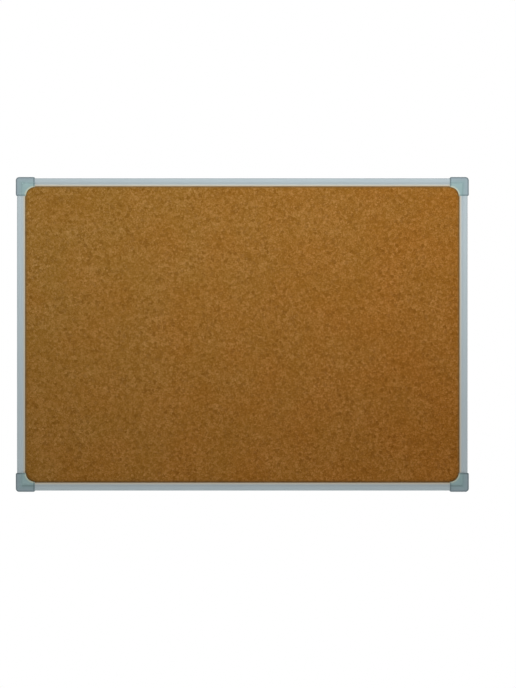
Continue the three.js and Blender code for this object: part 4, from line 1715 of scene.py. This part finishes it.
# %% The screw tree
def screw_tree():
    """Sets a copy of the screw on each place, turned by its own amount."""
    tree, given, out = new_group(
        "set_screws", "GeometryNodeTree",
        [("Places", "NodeSocketGeometry", None), ("Screw", "NodeSocketObject", None),
         ("Turn Seed", "NodeSocketInt", 7), ("Material", "NodeSocketMaterial", None)],
        [("Screws", "NodeSocketGeometry")],
    )
    shape = put(tree, "GeometryNodeObjectInfo", {"Object": given["Screw"]})
    chance = put(tree, "FunctionNodeRandomValue", {"Seed": given["Turn Seed"], 3: math.pi},
                 data_type="FLOAT")
    turn = put(tree, "ShaderNodeCombineXYZ", {"Z": chance.outputs[1]})
    copies = put(tree, "GeometryNodeInstanceOnPoints",
                 {"Points": given["Places"], "Instance": shape.outputs["Geometry"],
                  "Rotation": turn.outputs[0]})
    return give_out(tree, given, out, copies.outputs[0])


set_screws = screw_tree()
print("geometry tree:", set_screws.name, "with", len(set_screws.nodes), "nodes")

# %% [markdown]
# Two screws go into each corner, one through the end of each rail. Their heads bear on the chamber's
# wall, inside the access holes. The places could be written down on the board's own axes, but then
# the screws would need their own way to the board. So they are drawn for the bottom side, like any
# other piece.

# %% Set the eight screws
TURN_SEED = 7


def screw_places():
    """The eight places in the drawing of the bottom side, which all corners share after turning."""
    to_drawing = side_matrix(0).inverted()
    places = []
    for turn in range(4):
        for x, y in ((screw_along, screw_across), (screw_across, screw_along)):
            places.append(to_drawing @ side_matrix(turn) @ Vector((x, y, slot_ceiling - FIT_GAP)))
    mesh = bpy.data.meshes.new("places")
    mesh.from_pydata(places, [], [])
    return mesh


screws = new_piece("screws", screw_places())
run_tree(screws, set_screws, Screw=screw_shape, Turn_Seed=TURN_SEED, Material=screw_zinc)
bpy.data.objects.remove(screw_shape)
hand_over(screws, "cap_screws", side_matrix(0), "board", screw_zinc,
          [f"cap_screw_{corner}_{letter}" for corner in CORNERS for letter in "ab"])

# %% [markdown]
# ## The keyhole hangers
# Each hanger is stamped and folded from 0.9 mm steel. Its hemmed top edge runs in the rail's rear
# slot, and its leaf steps back to lie near the wall. A flat sheet could be bent with modifiers, but
# each fold would need one of its own. Drawing the folded strip as a section sets every bend at once.

# %% The folded strip
HANGER_WIDTH = 34.0
KEYHOLE_HEAD = 9.5
KEYHOLE_SLOT = 4.8
KEYHOLE_TRAVEL = 8.5
KEYHOLE_MARGIN = 4.2
WALL_GAP = 0.3
HEM_ROUND = 0.85
INNER_BEND = 1.5
OUTER_BEND = INNER_BEND + HANGER_STEEL

keyhole_narrow = flange_edge + FIT_GAP + KEYHOLE_HEAD / 2
keyhole_wide = keyhole_narrow + KEYHOLE_TRAVEL
hanger_end = keyhole_wide + KEYHOLE_HEAD / 2 + KEYHOLE_MARGIN


def hanger_section():
    """The strip from the side: its hem, its neck past the rail's bead, and its leaf at the wall."""
    start = RAIL_WALL + SLIDE_GAP
    hem_end = bead_outer - SLIDE_GAP
    neck_front = slot_ceiling - SLIDE_GAP
    neck_rear = neck_front - HANGER_STEEL
    step_start = REAR_LIP_WIDTH + SLIDE_GAP
    leaf_front = WALL_GAP + HANGER_STEEL
    return rounded([
        (start, start, HEM_ROUND), (hem_end, start, 0.2), (hem_end, neck_rear, 0.1),
        (step_start, neck_rear, OUTER_BEND), (flange_edge, WALL_GAP, INNER_BEND),
        (hanger_end, WALL_GAP, 0), (hanger_end, leaf_front, 0), (flange_edge, leaf_front, OUTER_BEND),
        (step_start, neck_front, INNER_BEND), (start, neck_front, HEM_ROUND),
    ])


print(f"hanger: {HANGER_WIDTH:.0f} mm wide and {hanger_end - RAIL_WALL - SLIDE_GAP:.1f} mm tall")

# %% [markdown]
# The press cuts the hanger's rounded corners and its keyhole: a round hole that passes a wall screw's
# head, and a slot above it that holds the screw's shank. The hole could be cut as two shapes, one
# after the other. Drawn as one outline of two arcs, it needs a single cut.

# %% The stamped outline
HANGER_CORNER = 4.0


def stamped_outline():
    """The hanger from the front, and its keyhole."""
    half = HANGER_WIDTH / 2
    outer = rounded([(-half, 0, 0), (half, 0, 0),
                     (half, hanger_end, HANGER_CORNER), (-half, hanger_end, HANGER_CORNER)])
    meet = math.asin(KEYHOLE_SLOT / KEYHOLE_HEAD)
    hole = arc((0, keyhole_wide), KEYHOLE_HEAD / 2, -math.pi / 2 + meet, 1.5 * math.pi - meet)
    hole += arc((0, keyhole_narrow), KEYHOLE_SLOT / 2, math.pi, 2 * math.pi)
    return [outer, hole]


print("stamped outline:", [len(loop) for loop in stamped_outline()], "points")

# %% [markdown]
# What the strip and the stamped outline share is the hanger. A mirrored copy could serve as the
# second one, but the plate is its own mirror image, so a plain copy does. Each rides on its own body
# and slides along the rail. Both take the top side's matrix, moved along to where their solids rest.

# %% Make the two hangers
HANGER_EASE = 0.12
HANGER_EASE_ANGLE = math.radians(40)


def hanger_shape():
    """The folded strip cut to the stamped outline."""
    half = HANGER_WIDTH / 2
    bent = run_along(hanger_section(), -half - OVERRUN, half + OVERRUN)
    blank = prism(stamped_outline(), -OVERRUN, crest)
    plate = cleaned(combine(bent, blank, "INTERSECT"))
    return eased(plate, HANGER_EASE, HANGER_EASE_ANGLE, segments=2)


plate_shape = hanger_shape()
for name in ("hanger_left", "hanger_right"):
    low, high = box_mm(name)
    along = Matrix.Translation((rail_high - (low.x + high.x) / 2, 0, 0))
    plate = new_piece("plate", plate_shape.data.copy())
    hand_over(plate, f"{name}_plate", side_matrix(2) @ along, name, hanger_zinc, [name])
bpy.data.objects.remove(plate_shape)

# %% [markdown]
# ## The cork sheet
# The face of pressed cork isn't flat: each granule stands a little higher or lower than the next. A
# bump in the material shades that well from the front, but it stays flat in a grazing view and in the
# outline. So the face is also a real grid of points. A Geometry Nodes tree pushes them in by a rule:
# every chip has its own height, and its rim is sunk.

# %% The chips' rule
CORK_SPACING = 1.75
CHIP_SIZE = 3.4
RELIEF = 0.13
EDGE_FADE = 3.0
RIM_SINK = 0.6
CHANCE_SINK = 0.5


def chip_depth(tree, given, point):
    """How far each point is sunk: by its chip's own chance, and more towards the chip's rim."""
    scale = maths(tree, "DIVIDE", 1.0, given["Chip Size"])
    chips = put(tree, "ShaderNodeTexVoronoi",
                {"Vector": point, "W": given["Seed"], "Scale": scale}, voronoi_dimensions="4D")
    chance = put(tree, "ShaderNodeSeparateXYZ", {0: chips.outputs["Color"]}).outputs[0]
    sunk = maths(tree, "MULTIPLY", chips.outputs["Distance"], RIM_SINK)
    return maths(tree, "MULTIPLY_ADD", chance, CHANCE_SINK, sunk)


def edge_fade(tree, given, point):
    """1 over the sheet and 0 at its edges, so that it stays flat under the frame's lip."""
    parts = put(tree, "ShaderNodeSeparateXYZ", {0: point}).outputs
    fades = []
    for axis, size in (("X", "Width"), ("Y", "Height")):
        reach = maths(tree, "DIVIDE", given[size], 2.0)
        inside = maths(tree, "SUBTRACT", reach, maths(tree, "ABSOLUTE", parts[axis]))
        fades.append(maths(tree, "DIVIDE", inside, given["Edge Fade"]))
    return maths(tree, "MINIMUM", maths(tree, "MINIMUM", *fades), 1.0)


print(f"chips {CHIP_SIZE} mm across, {RELIEF} mm deep, on points {CORK_SPACING} mm apart")

# %% [markdown]
# The grid's spacing is a trade. Half of it would draw each chip more truly, and would take four times
# the points. At about two points to a chip the relief still reads in a grazing view, and the material
# adds what is finer.


# %% The cork tree
def cork_tree():
    """A grid of the sheet's size, pushed in by the chips' rule."""
    tree, given, out = new_group(
        "pressed_cork_face", "GeometryNodeTree",
        [("Geometry", "NodeSocketGeometry", None), ("Width", "NodeSocketFloat", 580.0),
         ("Height", "NodeSocketFloat", 400.0), ("Spacing", "NodeSocketFloat", CORK_SPACING),
         ("Chip Size", "NodeSocketFloat", CHIP_SIZE), ("Relief", "NodeSocketFloat", RELIEF),
         ("Edge Fade", "NodeSocketFloat", EDGE_FADE), ("Seed", "NodeSocketFloat", 3.0),
         ("Material", "NodeSocketMaterial", None)],
        [("Face", "NodeSocketGeometry")],
    )
    counts = []
    for size in ("Width", "Height"):
        steps = maths(tree, "ROUND", maths(tree, "DIVIDE", given[size], given["Spacing"]))
        counts.append(maths(tree, "ADD", steps, 1.0))
    grid = put(tree, "GeometryNodeMeshGrid",
               {"Size X": given["Width"], "Size Y": given["Height"],
                "Vertices X": counts[0], "Vertices Y": counts[1]})
    point = put(tree, "GeometryNodeInputPosition").outputs[0]
    sunk = maths(tree, "MULTIPLY", chip_depth(tree, given, point), edge_fade(tree, given, point))
    depth = maths(tree, "MULTIPLY", sunk, given["Relief"])
    down = put(tree, "ShaderNodeCombineXYZ", {"Z": maths(tree, "MULTIPLY", depth, -1.0)})
    pushed = put(tree, "GeometryNodeSetPosition",
                 {"Geometry": grid.outputs["Mesh"], "Offset": down.outputs[0]})
    return give_out(tree, given, out, pushed.outputs[0])


pressed_cork_face = cork_tree()
print("geometry tree:", pressed_cork_face.name, "with", len(pressed_cork_face.nodes), "nodes")

# %% [markdown]
# The sheet is 2.5 mm thick, so its face needs edges and a back. A Solidify modifier would copy
# the whole relief to the back, where nobody sees it. Pushing only the border back and closing it
# with a fan of triangles costs far fewer faces.

# %% Make the cork sheet
CHIP_SEED = 3.0


def close_behind(piece, thickness):
    """Gives a face its edges and back, as a fan of triangles from the middle."""
    shell = bmesh.new()
    shell.from_mesh(piece.data)
    border = [edge for edge in shell.edges if edge.is_boundary]
    for made in bmesh.ops.extrude_edge_only(shell, edges=border)["geom"]:
        if isinstance(made, bmesh.types.BMVert):
            made.co.z = -thickness
    rear = [edge for edge in shell.edges if edge.is_boundary]
    back = bmesh.ops.edgeloop_fill(shell, edges=rear)["faces"]
    bmesh.ops.poke(shell, faces=back)
    bmesh.ops.recalc_face_normals(shell, faces=shell.faces)
    shell.to_mesh(piece.data)
    shell.free()
    return piece


cork_low, cork_high = box_mm("cork_sheet")
sheet = new_piece("sheet", bpy.data.meshes.new("sheet"))
run_tree(sheet, pressed_cork_face, Width=cork_high.x - cork_low.x, Height=cork_high.z - cork_low.z,
         Spacing=CORK_SPACING, Chip_Size=CHIP_SIZE, Relief=RELIEF, Edge_Fade=EDGE_FADE, Seed=CHIP_SEED,
         Material=cork)
close_behind(sheet, cork_high.y - cork_low.y)
cork_middle = (cork_low.z + cork_high.z) / 2
stand_up = Matrix(((1, 0, 0, 0), (0, 0, -1, -cork_front), (0, 1, 0, cork_middle), (0, 0, 0, 1)))
hand_over(sheet, "cork_face_sheet", stand_up, "board", cork, ["cork_sheet"])

# %% [markdown]
# ## Pieces that keep their solids
# The softboard core and the backing board are plain flat sheets on the real board too. They could be
# modelled anew like the rest, but the result would be the same boxes. So their solids stay, and they
# only get their finishes.

# %% Finish the solids that stay
for node, material in (("core_board", softboard), ("back_sheet", backing)):
    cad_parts[node].data.materials.clear()
    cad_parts[node].data.materials.append(material)
    print("finished", node, "as", material.name)

# %% [markdown]
# ## The solids' box
# The dressed board has to fill the same box as the solids, or it would no longer fit where the solids
# fit. The solids' box is printed here.

# %% Print the solids' box
print("solid box ", [[round(c, 5) for c in corner] for corner in solid_box])
